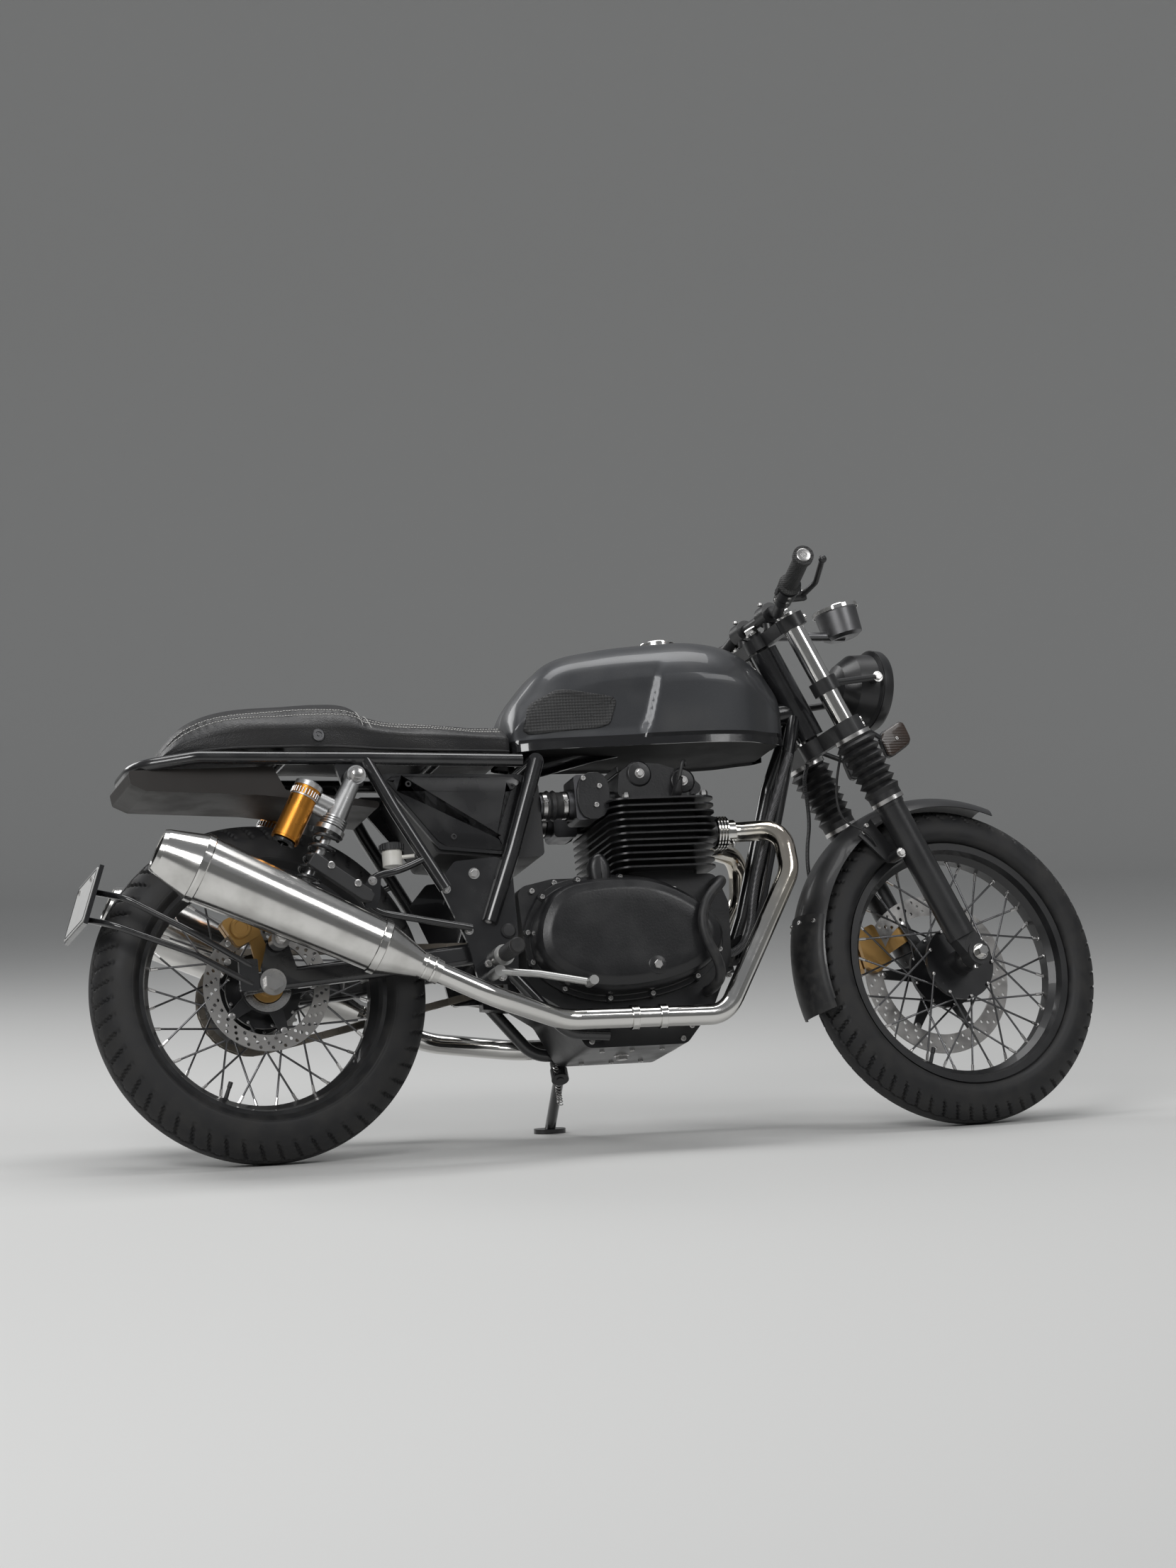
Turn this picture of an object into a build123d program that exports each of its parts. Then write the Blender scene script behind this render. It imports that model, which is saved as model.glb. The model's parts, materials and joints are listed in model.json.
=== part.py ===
from build123d import *
import math
import os

# A cafe racer motorcycle, in millimetres and degrees. It is modelled upright: X runs forward from the
# rear axle, Y to the left, Z up from the ground. At the end it is steered, leaned onto its side stand
# and moved so that the origin lies under the middle of its box.
WHEELBASE = 1398
RAKE = 24
FORK_OFFSET = 33
LEAN = 13.8
PARKED_STEER = 9.7

# Gaps: a piece resting on its seat, a shaft in its bore, and the play of a part that swings past others.
SEAT_GAP = 0.3
RUNNING_GAP = 0.05
SWING_GAP = 5

REAR_RADIUS = 321.5
REAR_WIDTH = 130
FRONT_RADIUS = 316
FRONT_WIDTH = 104
TYRE_WALL = 9
REAR_TYRE_DEPTH = 79
FRONT_TYRE_DEPTH = 73.5
REAR_FLANGE = REAR_RADIUS - REAR_TYRE_DEPTH
FRONT_FLANGE = FRONT_RADIUS - FRONT_TYRE_DEPTH
BEAD_DEPTH = 10.2
WELL_DEPTH = 29.5
AXLE_RADIUS = 10
SPOKE_RADIUS = 2
SPOKES_PER_FAMILY = 9
SPOKE_SWEEP = 45

STANCHION_SPREAD = 97.5
STANCHION_RADIUS = 20.5
LEG_AHEAD = 24
SLIDER_RADIUS = 28
STEM_RADIUS = 14
HEAD_TUBE_RADIUS = 28
LOWER_YOKE_LEVEL = 490
UPPER_YOKE_LEVEL = 728
YOKE_THICKNESS = 26
BAR_RADIUS = 11.1
GRIP_RADIUS = 16

FRAME_TUBE = 30
RAIL_TUBE = 25
RAIL_SPREAD = 120
PLATE_SPREAD = 105
PLATE_THICKNESS = 8
SWINGARM_SPREAD = 112
SHOCK_SPREAD = 150
SILENCER_SPREAD = 252
PIPE_RADIUS = 19.5
PIPE_SPREAD = 170
CASE_HALF_WIDTH = 105
COVER_DEPTH = 68
DISC_THICKNESS = 5
CHAIN_LINE = 83.5
SPROCKET_TEETH = 38
CHAIN_PITCH = 15.875
STAND_REACH = 285

rake = math.radians(RAKE)
UP_FORK = Vector(-math.sin(rake), 0, math.cos(rake))
AHEAD = Vector(math.cos(rake), 0, math.sin(rake))
rear_axle_centre = Vector(0, 0, REAR_RADIUS)
front_axle_centre = Vector(WHEELBASE, 0, FRONT_RADIUS)
steering_foot = front_axle_centre - AHEAD * FORK_OFFSET
fork_plane = Plane(origin=steering_foot, x_dir=AHEAD, z_dir=UP_FORK)


def fork_point(level, ahead, across):
    """A point by its height along the steering axis, its lead over it, and its side."""
    return steering_foot + UP_FORK * level + AHEAD * ahead + Vector(0, across, 0)


def front_point(back, across, height):
    """A point by its distance behind the front axle, its side and its height."""
    return Vector(WHEELBASE - back, across, height)


def about(axle, corners):
    """Side corners that are given from an axle."""
    return [(axle.X + x, axle.Z + z) for x, z in corners]


def side_plane(across):
    """A plane seen from the right, with X forward and Z up, at one distance across."""
    return Plane(origin=(0, across, 0), x_dir=(1, 0, 0), z_dir=(0, -1, 0))


def wheel_plane(axle):
    """A section plane through an axle: across, then outward."""
    return Plane(origin=axle, x_dir=(0, 1, 0), z_dir=(1, 0, 0))


def bent_tube(points, bend, radius):
    """Adds a round tube along straight runs that are joined by bends."""
    with BuildLine() as route:
        FilletPolyline(*points, radius=bend)
    with BuildSketch(Plane(origin=route.line @ 0, z_dir=route.line % 0)) as ring:
        Circle(radius)
    sweep(sections=ring.sketch, path=route.line)


def straight_rod(start, end, radius, mode=Mode.ADD):
    """Adds a round rod between two points."""
    run = Vector(*end) - Vector(*start)
    with Locations(Plane(origin=start, z_dir=run)):
        Cylinder(radius, run.length, align=(Align.CENTER, Align.CENTER, Align.MIN), mode=mode)


def cross_rod(x, z, near, far, radius, mode=Mode.ADD):
    """Adds a rod along Y between two distances across."""
    with Locations(Plane(origin=(x, near, z), z_dir=(0, far - near, 0))):
        Cylinder(radius, abs(far - near), align=(Align.CENTER, Align.CENTER, Align.MIN), mode=mode)


def side_plate(outline, near, far, bend=0, mode=Mode.ADD):
    """Adds a plate with a side outline, between two distances across."""
    with BuildSketch(side_plane(near)) as face:
        with BuildLine():
            if bend:
                FilletPolyline(*outline, radius=bend, close=True)
            else:
                Polyline(*outline, close=True)
        make_face()
    extrude(face.sketch, amount=near - far, mode=mode)


def turned(axle, outline):
    """Adds a body turned about an axle, from its (across, radius) outline."""
    with BuildSketch(wheel_plane(axle)) as section:
        with BuildLine():
            Polyline(*outline, close=True)
        make_face()
    revolve(section.sketch, axis=Axis(axle, (0, 1, 0)))


def turned_along(origin, direction, outline):
    """Adds a body turned about any line, from its (distance along, radius) outline."""
    reference = Vector(0, 0, 1) if abs(direction.Y) > 0.5 else Vector(0, 1, 0)
    normal = direction.cross(reference).cross(direction)
    section_plane = Plane(origin=origin, x_dir=direction, z_dir=normal)
    with BuildSketch(section_plane) as section:
        with BuildLine():
            Polyline(*outline, close=True)
        make_face()
    revolve(section.sketch, axis=Axis(origin, direction))


def make_tyre(axle, radius, width, rim_half, flange):
    """A tyre carcass, open towards its rim, with a round crown."""
    crown = width / 2
    centre = radius - crown
    bead = rim_half - 4.3
    inner_crown = crown - TYRE_WALL
    inner_bead = bead - TYRE_WALL
    sidewall_foot = flange + 3
    bead_radius = flange - BEAD_DEPTH
    with BuildSketch(wheel_plane(axle)) as section:
        with BuildLine():
            for reach, foot in ((crown, bead), (inner_crown, inner_bead)):
                ThreePointArc((reach, centre), (0, centre + reach), (-reach, centre))
                for side in (-1, 1):
                    TangentArc((side * reach, centre), (side * foot, sidewall_foot), tangent=(0, -1))
                    Line((side * foot, sidewall_foot), (side * foot, bead_radius))
            Line((bead, bead_radius), (inner_bead, bead_radius))
            Line((-bead, bead_radius), (-inner_bead, bead_radius))
        make_face()
    revolve(section.sketch, axis=Axis(axle, (0, 1, 0)))


def make_rim(axle, rim_half, flange):
    """A drop-centre rim with a flange at each side."""
    under = [(rim_half, flange), (rim_half, flange - 13.5), (rim_half - 14, flange - 18.5), (13, flange - WELL_DEPTH)]
    over = [(12, flange - WELL_DEPTH + 4), (rim_half - 16, flange - 14.5), (rim_half - 4, flange - 10.5),
            (rim_half - 4, flange)]
    outline = under + [(-y, r) for y, r in reversed(under)]
    outline += [(-y, r) for y, r in reversed(over)] + over
    turned(axle, outline)


def make_spokes(axle, flange_across, flange_radius, rim_flange):
    """Four families of spokes: each side has its leading spokes outside the flange and its trailing inside."""
    hole_radius = flange_radius - 4
    for side in (-1, 1):
        for family, sweep_angle, stand_off in ((0, SPOKE_SWEEP, 8.2), (20, -SPOKE_SWEEP, -6.3)):
            rows = []
            for number in range(SPOKES_PER_FAMILY):
                at_hub = math.radians(number * 360 / SPOKES_PER_FAMILY + family + 10 * (side + 1))
                at_rim = at_hub + math.radians(sweep_angle)
                start = wheel_point(axle, side * (flange_across + stand_off), hole_radius, at_hub)
                end = wheel_point(axle, side * 7, rim_flange - WELL_DEPTH - 1, at_rim)
                rows.append((start, end))
            length = (rows[0][1] - rows[0][0]).length
            with Locations(*[Plane(origin=start, z_dir=end - start) for start, end in rows]):
                Cylinder(SPOKE_RADIUS, length, align=(Align.CENTER, Align.CENTER, Align.MIN))


def wheel_point(axle, across, radius, angle):
    """A point beside a wheel by its distance across, its radius and its angle."""
    return axle + Vector(radius * math.cos(angle), across, radius * math.sin(angle))


def make_disc(axle, across, outer, inner, seat_radius, arms):
    """A brake disc with a carrier whose arms reach in to the hub."""
    plane = Plane(origin=axle + Vector(0, across, 0), x_dir=(1, 0, 0), z_dir=(0, 1, 0))
    with BuildSketch(plane) as face:
        Circle(outer)
        Circle(inner, mode=Mode.SUBTRACT)
        with PolarLocations((inner + seat_radius) / 2, arms):
            Rectangle(inner - seat_radius + 16, 22)
        Circle(seat_radius)
        Circle(27, mode=Mode.SUBTRACT)
    extrude(face.sketch, amount=DISC_THICKNESS / 2, both=True)


# Wheels
with BuildPart() as rear_tyre:
    make_tyre(rear_axle_centre, REAR_RADIUS, REAR_WIDTH, 48, REAR_FLANGE)
with BuildPart() as rear_rim:
    make_rim(rear_axle_centre, 48, REAR_FLANGE)
with BuildPart() as rear_spokes:
    make_spokes(rear_axle_centre, 36, 72, REAR_FLANGE)
with BuildPart() as front_tyre:
    make_tyre(front_axle_centre, FRONT_RADIUS, FRONT_WIDTH, 38, FRONT_FLANGE)
with BuildPart() as front_rim:
    make_rim(front_axle_centre, 38, FRONT_FLANGE)
with BuildPart() as front_spokes:
    make_spokes(front_axle_centre, 33, 74, FRONT_FLANGE)

BORE = AXLE_RADIUS + RUNNING_GAP
with BuildPart() as front_hub:
    turned(front_axle_centre, [
        (-60, BORE), (-60, 26), (-37, 26), (-37, 74), (-29, 74), (-29, 36),
        (29, 36), (29, 74), (37, 74), (37, 48), (57.5, 48), (57.5, 26), (66, 26), (66, BORE)])
with BuildPart() as rear_hub:
    turned(rear_axle_centre, [
        (-74, BORE), (-74, 26), (-68, 26), (-68, 48), (-40, 48), (-40, 72), (-32, 72), (-32, 38),
        (32, 38), (32, 72), (40, 72), (40, 58), (79.7, 58), (79.7, 26), (90, 26), (90, BORE)])
with BuildPart() as front_disc:
    make_disc(front_axle_centre, 60.3, 160, 122, 46, 6)
with BuildPart() as rear_disc:
    make_disc(rear_axle_centre, -70.8, 120, 90, 46, 5)

SPROCKET_HALF = 3.5
pitch_radius = CHAIN_PITCH / 2 / math.sin(math.pi / SPROCKET_TEETH)
with BuildPart() as rear_sprocket:
    face = Plane(origin=rear_axle_centre + Vector(0, CHAIN_LINE, 0), x_dir=(1, 0, 0), z_dir=(0, 1, 0))
    with BuildSketch(face):
        Circle(pitch_radius + 1)
        with PolarLocations(pitch_radius + 1, SPROCKET_TEETH):
            Circle(5.4, mode=Mode.SUBTRACT)
        Circle(78, mode=Mode.SUBTRACT)
        with PolarLocations(66, 6):
            Rectangle(34, 26)
        Circle(58)
        Circle(26.3, mode=Mode.SUBTRACT)
    extrude(amount=SPROCKET_HALF, both=True)

# Chain: a fixed loop of side plates that straddles the sprocket's teeth
FRONT_SPROCKET = Vector(520, CHAIN_LINE, 372)
front_pitch = 38.5
CHAIN_HALF_HEIGHT = 7


def chain_loop(growth):
    """The outline of the chain's loop, grown outward from the pitch line."""
    centres = (rear_axle_centre + Vector(0, CHAIN_LINE, 0), FRONT_SPROCKET)
    radii = (pitch_radius + growth, front_pitch + growth)
    run = centres[1] - centres[0]
    tilt = math.degrees(math.atan2(run.Z, run.X))
    plane = Plane(origin=centres[0], x_dir=run, z_dir=(0, -1, 0))
    lean_in = math.degrees(math.asin((radii[0] - radii[1]) / run.length))
    with BuildSketch(plane) as loop:
        with BuildLine():
            up = math.radians(90 - lean_in)
            top = [(radii[0] * math.cos(up), radii[0] * math.sin(up)),
                   (run.length + radii[1] * math.cos(up), radii[1] * math.sin(up))]
            low = [(x, -y) for x, y in top]
            Line(top[0], top[1])
            Line(low[0], low[1])
            ThreePointArc(top[0], (-radii[0], 0), low[0])
            ThreePointArc(top[1], (run.length + radii[1], 0), low[1])
        make_face()
    return loop.sketch


with BuildPart() as drive_chain:
    extrude(chain_loop(CHAIN_HALF_HEIGHT), amount=9, both=True)
    extrude(chain_loop(-CHAIN_HALF_HEIGHT), amount=9, both=True, mode=Mode.SUBTRACT)
    extrude(chain_loop(3), amount=SPROCKET_HALF + 0.8, both=True, mode=Mode.SUBTRACT)

# Axles
REAR_AXLE_HALF = 142
with BuildPart() as rear_axle:
    cross_rod(0, REAR_RADIUS, -REAR_AXLE_HALF, REAR_AXLE_HALF, AXLE_RADIUS)
    for near, far in ((-74.3, -96.7), (90.3, 96.7)):
        cross_rod(0, REAR_RADIUS, near, far, 17)
    for side in (-1, 1):
        cross_rod(0, REAR_RADIUS, side * 127.3, side * 130, 25)
        with BuildSketch(Plane(origin=(0, side * 130, REAR_RADIUS), z_dir=(0, side, 0))) as nut:
            RegularPolygon(18, 6)
        extrude(nut.sketch, amount=14)
FRONT_AXLE_HALF = 118
with BuildPart() as front_axle:
    cross_rod(WHEELBASE, FRONT_RADIUS, -FRONT_AXLE_HALF, FRONT_AXLE_HALF, AXLE_RADIUS)
    for near, far in ((-60.3, -80.5), (66.3, 80.5)):
        cross_rod(WHEELBASE, FRONT_RADIUS, near, far, 15)
    for side in (-1, 1):
        cross_rod(WHEELBASE, FRONT_RADIUS, side * 114.8, side * FRONT_AXLE_HALF, 16)

# Fork: sliders, stanchions, gaiters and the two yokes
SLIDER_TOP = 350
with BuildPart() as fork_sliders:
    for side in (-1, 1):
        leg = side * STANCHION_SPREAD
        straight_rod(fork_point(42, LEG_AHEAD, leg), fork_point(SLIDER_TOP, LEG_AHEAD, leg), SLIDER_RADIUS)
        cross_rod(WHEELBASE, FRONT_RADIUS, side * 81, side * 114.5, 24)
        web = [fork_point(level, ahead, 0) for level, ahead in ((52, LEG_AHEAD - 26), (52, LEG_AHEAD + 24),
                                                               (-4, FORK_OFFSET + 22), (-14, FORK_OFFSET - 18))]
        side_plate([(corner.X, corner.Z) for corner in web], side * 83, side * 112)
        cross_rod(WHEELBASE, FRONT_RADIUS, side * 80, side * 120, AXLE_RADIUS + SEAT_GAP, Mode.SUBTRACT)
        seat = fork_point(SLIDER_TOP - 60, LEG_AHEAD, leg)
        top = fork_point(SLIDER_TOP + 5, LEG_AHEAD, leg)
        with Locations(Plane(origin=seat, z_dir=UP_FORK)):
            Cylinder(STANCHION_RADIUS + SEAT_GAP, (top - seat).length,
                     align=(Align.CENTER, Align.CENTER, Align.MIN), mode=Mode.SUBTRACT)
        lug = fork_point(SLIDER_TOP - 108, LEG_AHEAD - 34, 0)
        cross_rod(lug.X, lug.Z, side * 74, side * 104, 11)
with BuildPart() as fork_stanchions:
    for side in (-1, 1):
        leg = side * STANCHION_SPREAD
        straight_rod(fork_point(SLIDER_TOP - 59, LEG_AHEAD, leg),
                     fork_point(UPPER_YOKE_LEVEL + YOKE_THICKNESS + 4, LEG_AHEAD, leg), STANCHION_RADIUS)
GAITER_FOLDS = 7
GAITER_LOW = SLIDER_TOP - 8
GAITER_TOP = LOWER_YOKE_LEVEL - SEAT_GAP
with BuildPart() as fork_gaiters:
    fold = (GAITER_TOP - SLIDER_TOP - 22) / GAITER_FOLDS
    outline = [(GAITER_LOW, SLIDER_RADIUS + SEAT_GAP), (GAITER_LOW, 33), (SLIDER_TOP + 10, 33)]
    for number in range(GAITER_FOLDS):
        foot = SLIDER_TOP + 12 + fold * number
        crest = 37 + 6 * number / (GAITER_FOLDS - 1)
        outline += [(foot + fold * 0.45, crest), (foot + fold * 0.95, crest - 9)]
    outline += [(GAITER_TOP, 36), (GAITER_TOP, STANCHION_RADIUS + SEAT_GAP)]
    outline += [(SLIDER_TOP + SEAT_GAP, STANCHION_RADIUS + SEAT_GAP), (SLIDER_TOP + SEAT_GAP, 28.3)]
    for side in (-1, 1):
        turned_along(fork_point(0, LEG_AHEAD, side * STANCHION_SPREAD), UP_FORK, outline)


YOKE_FRONT = 31
BAR_CLAMP = front_point(335, 0, 1020)


def make_yoke(level, thickness, clamp_radius, neck):
    """A fork yoke: two clamp eyes joined by a waisted bridge round the stem."""
    with BuildSketch(fork_plane.offset(level)) as face:
        with Locations((LEG_AHEAD, STANCHION_SPREAD), (LEG_AHEAD, -STANCHION_SPREAD)):
            Circle(clamp_radius)
        Circle(neck)
        with Locations((LEG_AHEAD / 2, 0)):
            Rectangle(2 * (YOKE_FRONT - LEG_AHEAD / 2), 2 * STANCHION_SPREAD)
        with Locations((LEG_AHEAD, STANCHION_SPREAD), (LEG_AHEAD, -STANCHION_SPREAD)):
            Circle(STANCHION_RADIUS + SEAT_GAP, mode=Mode.SUBTRACT)
    extrude(face.sketch, amount=thickness)


with BuildPart() as lower_yoke:
    make_yoke(LOWER_YOKE_LEVEL, YOKE_THICKNESS + 6, 31, 32)
    straight_rod(fork_point(LOWER_YOKE_LEVEL, 0, 0),
                 fork_point(UPPER_YOKE_LEVEL + YOKE_THICKNESS + 7, 0, 0), STEM_RADIUS)
HEAD_LOW = LOWER_YOKE_LEVEL + YOKE_THICKNESS + 6 + SWING_GAP
HEAD_TOP = UPPER_YOKE_LEVEL - SWING_GAP
with BuildPart() as upper_yoke:
    make_yoke(UPPER_YOKE_LEVEL, YOKE_THICKNESS, 30, 30)
    with Locations(Plane(origin=fork_point(UPPER_YOKE_LEVEL - 1, 0, 0), z_dir=UP_FORK)):
        Cylinder(STEM_RADIUS + SEAT_GAP, YOKE_THICKNESS + 2,
                 align=(Align.CENTER, Align.CENTER, Align.MIN), mode=Mode.SUBTRACT)
    for side in (-1, 1):
        straight_rod(fork_point(UPPER_YOKE_LEVEL + YOKE_THICKNESS - 4, 2, side * 55),
                     BAR_CLAMP + Vector(1, side * 55, -4), 13)
        cross_rod(BAR_CLAMP.X, BAR_CLAMP.Z, side * 55 - 17, side * 55 + 17, 21)
        cross_rod(BAR_CLAMP.X, BAR_CLAMP.Z, side * 55 - 19, side * 55 + 19, BAR_RADIUS + SEAT_GAP, Mode.SUBTRACT)

# Handlebar, grips and controls
GRIP_INNER = front_point(394, 258, 1006)
GRIP_END = front_point(428, 386, 1020)
grip_run = (GRIP_END - GRIP_INNER).normalized()


def mirrored(point, side):
    """A point of the left half, taken to one side."""
    return Vector(point.X, side * point.Y, point.Z)


with BuildPart() as handlebar:
    half = [GRIP_END, GRIP_INNER - grip_run * 78, front_point(344, 112, 1004), BAR_CLAMP + Vector(0, 84, 0)]
    bent_tube([mirrored(p, 1) for p in half] + [mirrored(p, -1) for p in reversed(half)], 24, BAR_RADIUS)
with BuildPart() as grips:
    for side in (-1, 1):
        run = Vector(grip_run.X, side * grip_run.Y, grip_run.Z)
        start = mirrored(GRIP_INNER + grip_run * 8, side)
        turned_along(start, run, [
            (0, BAR_RADIUS + SEAT_GAP), (0, 22), (5, 22), (9, GRIP_RADIUS), (122, GRIP_RADIUS), (122, 20),
            (134, 20), (134, 0), (125.5, 0), (125.5, BAR_RADIUS + SEAT_GAP)])
MIRROR_BOSS = 20
MIRROR_DEPTH = 15
MIRROR_HOLE = 4.25
with BuildPart() as hand_controls:
    for side in (-1, 1):
        run = Vector(grip_run.X, side * grip_run.Y, grip_run.Z)
        inner = mirrored(GRIP_INNER, side)
        for back, width, radius in ((2, 30, 21), (40, 20, 18)):
            turned_along(inner - run * back, run * -1, [
                (0, BAR_RADIUS + SEAT_GAP), (0, radius), (width, radius), (width, BAR_RADIUS + SEAT_GAP)])
        perch = inner - run * 50
        ahead = Vector(1, 0, 0.12)
        straight_rod(perch + ahead * 14, perch + ahead * 44, 10)
        mirror_hole = perch + ahead * 30
        straight_rod(mirror_hole, mirror_hole + Vector(0, 0, MIRROR_BOSS), 10)
        straight_rod(mirror_hole + Vector(0, 0, MIRROR_BOSS - MIRROR_DEPTH),
                     mirror_hole + Vector(0, 0, MIRROR_BOSS + 1), MIRROR_HOLE, Mode.SUBTRACT)
        pivot = perch + ahead * 40
        bent_tube([pivot, pivot + run * 60 + ahead * 18, pivot + run * 165 + ahead * 8], 40, 5.5)
        with Locations(Location(pivot + run * 165 + ahead * 8)):
            Sphere(8)

# Headlamp and instrument
LAMP_CENTRE = front_point(108, 0, 886)
LAMP_FORWARD = Vector(math.cos(math.radians(5)), 0, -math.sin(math.radians(5)))
LAMP_RADIUS = 79
with BuildPart() as headlamp:
    turned_along(LAMP_CENTRE, LAMP_FORWARD, [
        (22, LAMP_RADIUS - 6), (22, LAMP_RADIUS), (2, LAMP_RADIUS), (-2, LAMP_RADIUS - 7), (-40, 66),
        (-66, 44), (-78, 18), (-78, 0), (-74, 0), (-62, 40), (-38, 61), (0, 68)])
    for side in (-1, 1):
        cross_rod(LAMP_CENTRE.X - 18, LAMP_CENTRE.Z, side * 66, side * 90, 9)
        straight_rod((LAMP_CENTRE.X - 18, side * 86, LAMP_CENTRE.Z),
                     fork_point(LOWER_YOKE_LEVEL + 110, LEG_AHEAD + 23, side * 92), 7)
        ear = fork_point(LOWER_YOKE_LEVEL + 96, LEG_AHEAD, side * STANCHION_SPREAD)
        with Locations(Plane(origin=ear, z_dir=UP_FORK)):
            Cylinder(28, 28, align=(Align.CENTER, Align.CENTER, Align.MIN))
            Cylinder(STANCHION_RADIUS + SEAT_GAP, 28,
                     align=(Align.CENTER, Align.CENTER, Align.MIN), mode=Mode.SUBTRACT)
with BuildPart() as headlamp_lens:
    turned_along(LAMP_CENTRE, LAMP_FORWARD, [
        (8, 0), (8, LAMP_RADIUS - 12), (10, LAMP_RADIUS - 6.5), (16, LAMP_RADIUS - 6.5), (24, 50), (29, 24), (30, 0)])
GAUGE_CENTRE = front_point(144, 0, 1028)
GAUGE_UP = Vector(-math.sin(math.radians(12)), 0, math.cos(math.radians(12)))
with BuildPart() as gauge:
    turned_along(GAUGE_CENTRE, GAUGE_UP, [
        (-34, 0), (-34, 30), (-28, 40), (20, 43), (24, 46), (30, 46), (30, 41), (26, 41), (26, 0)])
    bracket_foot = fork_point(UPPER_YOKE_LEVEL + 13, YOKE_FRONT + 6 + SEAT_GAP, 0)
    straight_rod(bracket_foot, GAUGE_CENTRE - GAUGE_UP * 30, 9)
    cross_rod(bracket_foot.X, bracket_foot.Z, -24, 24, 6)

# Front mudguard, a deep-crowned sector over the tyre, on a bracket to each slider
GUARD_RADIUS = 343
GUARD_FRONT = 70
GUARD_REAR = 194
with BuildPart() as front_mudguard:
    swing = math.radians(GUARD_FRONT)
    outward = Vector(math.cos(swing), 0, math.sin(swing))
    section_plane = Plane(origin=front_axle_centre, x_dir=(0, 1, 0), z_dir=(outward.Z, 0, -outward.X))
    with BuildSketch(section_plane) as section:
        with BuildLine():
            ThreePointArc((-62, GUARD_RADIUS - 31), (0, GUARD_RADIUS), (62, GUARD_RADIUS - 31))
            ThreePointArc((-59, GUARD_RADIUS - 31), (0, GUARD_RADIUS - 3), (59, GUARD_RADIUS - 31))
            Line((-62, GUARD_RADIUS - 31), (-59, GUARD_RADIUS - 31))
            Line((62, GUARD_RADIUS - 31), (59, GUARD_RADIUS - 31))
        make_face()
    revolve(section.sketch, axis=Axis(front_axle_centre, (0, -1, 0)), revolution_arc=GUARD_REAR - GUARD_FRONT)
    for side in (-1, 1):
        lug = fork_point(SLIDER_TOP - 108, LEG_AHEAD - 34, 0)
        side_plate([(WHEELBASE - 203, 566), (lug.X - 10, lug.Z - 8), (lug.X + 10, lug.Z - 8),
                    (lug.X + 12, lug.Z + 12), (WHEELBASE - 173, 600)], side * 59, side * 64)
        cross_rod(lug.X, lug.Z, side * 61, side * (74 - SEAT_GAP), 8)

# Brake calipers
with BuildPart() as front_brake_caliper:
    side_plate(about(front_axle_centre, [(-176, 86), (-136, 102), (-102, 24), (-140, 2), (-162, 14)]), 46, 86, 8)
    side_plate(about(front_axle_centre, [(-198, 124), (-78, 124), (-78, -16), (-198, -16)]), 56.8, 63.8, 0,
               Mode.SUBTRACT)
    side_plate(about(front_axle_centre, [(-130, 94), (-53, 104), (-46, 74), (-113, 36)]), 64, 69, 4)
with BuildPart() as rear_brake_caliper:
    side_plate(about(rear_axle_centre, [(-82, 124.5), (-30, 148.5), (-4, 98.5), (-52, 74.5)]), -88, -52, 8)
    side_plate(about(rear_axle_centre, [(-100, 168.5), (20, 168.5), (20, 58.5), (-100, 58.5)]), -73.8, -67.8, 0,
               Mode.SUBTRACT)
    side_plate(about(rear_axle_centre, [(-30, 98.5), (-12, 116.5), (22, 28.5), (-16, 23.5)]), -84, -76, 4)
    cross_rod(0, REAR_RADIUS, -76, -84, 30)
    cross_rod(0, REAR_RADIUS, -70, -90, 17.3, Mode.SUBTRACT)

# Engine: crankcase with sump, side covers, finned block and head
CASE_TOP = 500
FRONT_LUG = 40
with BuildPart() as engine_crankcase:
    side_plate([(492, 486), (560, 500), (890, 500), (912, 440), (905, 330), (860, 240), (800, 172), (600, 172),
                (560, 250), (500, 290)], -CASE_HALF_WIDTH, CASE_HALF_WIDTH, 22)
    side_plate([(895, 388), (930, 374), (930, 322), (890, 306)], -FRONT_LUG, FRONT_LUG)
    for side in (-1, 1):
        side_plate([(456, 308), (456, 286), (512, 280), (512, 312)], side * (PLATE_SPREAD - SEAT_GAP), side * 76)
    cross_rod(FRONT_SPROCKET.X, FRONT_SPROCKET.Z, 60, CASE_HALF_WIDTH + 5, front_pitch + 16, Mode.SUBTRACT)
    side_plate([(470, FRONT_SPROCKET.Z + 54), (FRONT_SPROCKET.X, FRONT_SPROCKET.Z + 54),
                (FRONT_SPROCKET.X, FRONT_SPROCKET.Z - 54), (470, FRONT_SPROCKET.Z - 54)],
               60, CASE_HALF_WIDTH + 5, 0, Mode.SUBTRACT)
    cross_rod(FRONT_SPROCKET.X, FRONT_SPROCKET.Z, 59, CHAIN_LINE, 17)
    cross_rod(FRONT_SPROCKET.X, FRONT_SPROCKET.Z, CHAIN_LINE - SPROCKET_HALF, CHAIN_LINE + SPROCKET_HALF,
              front_pitch + 1)
COVER_OUTLINE = [(490, 400), (548, 493), (735, 498), (905, 405), (868, 298), (735, 256), (585, 262), (500, 318)]
with BuildPart() as engine_covers:
    for side in (-1, 1):
        wall = side * (CASE_HALF_WIDTH + SEAT_GAP)
        face_out = side * (CASE_HALF_WIDTH + COVER_DEPTH)
        with BuildSketch(side_plane(wall)) as foot:
            with BuildLine():
                FilletPolyline(*COVER_OUTLINE, radius=55, close=True)
            make_face()
        extrude(foot.sketch, amount=wall - face_out, taper=10)
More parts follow.
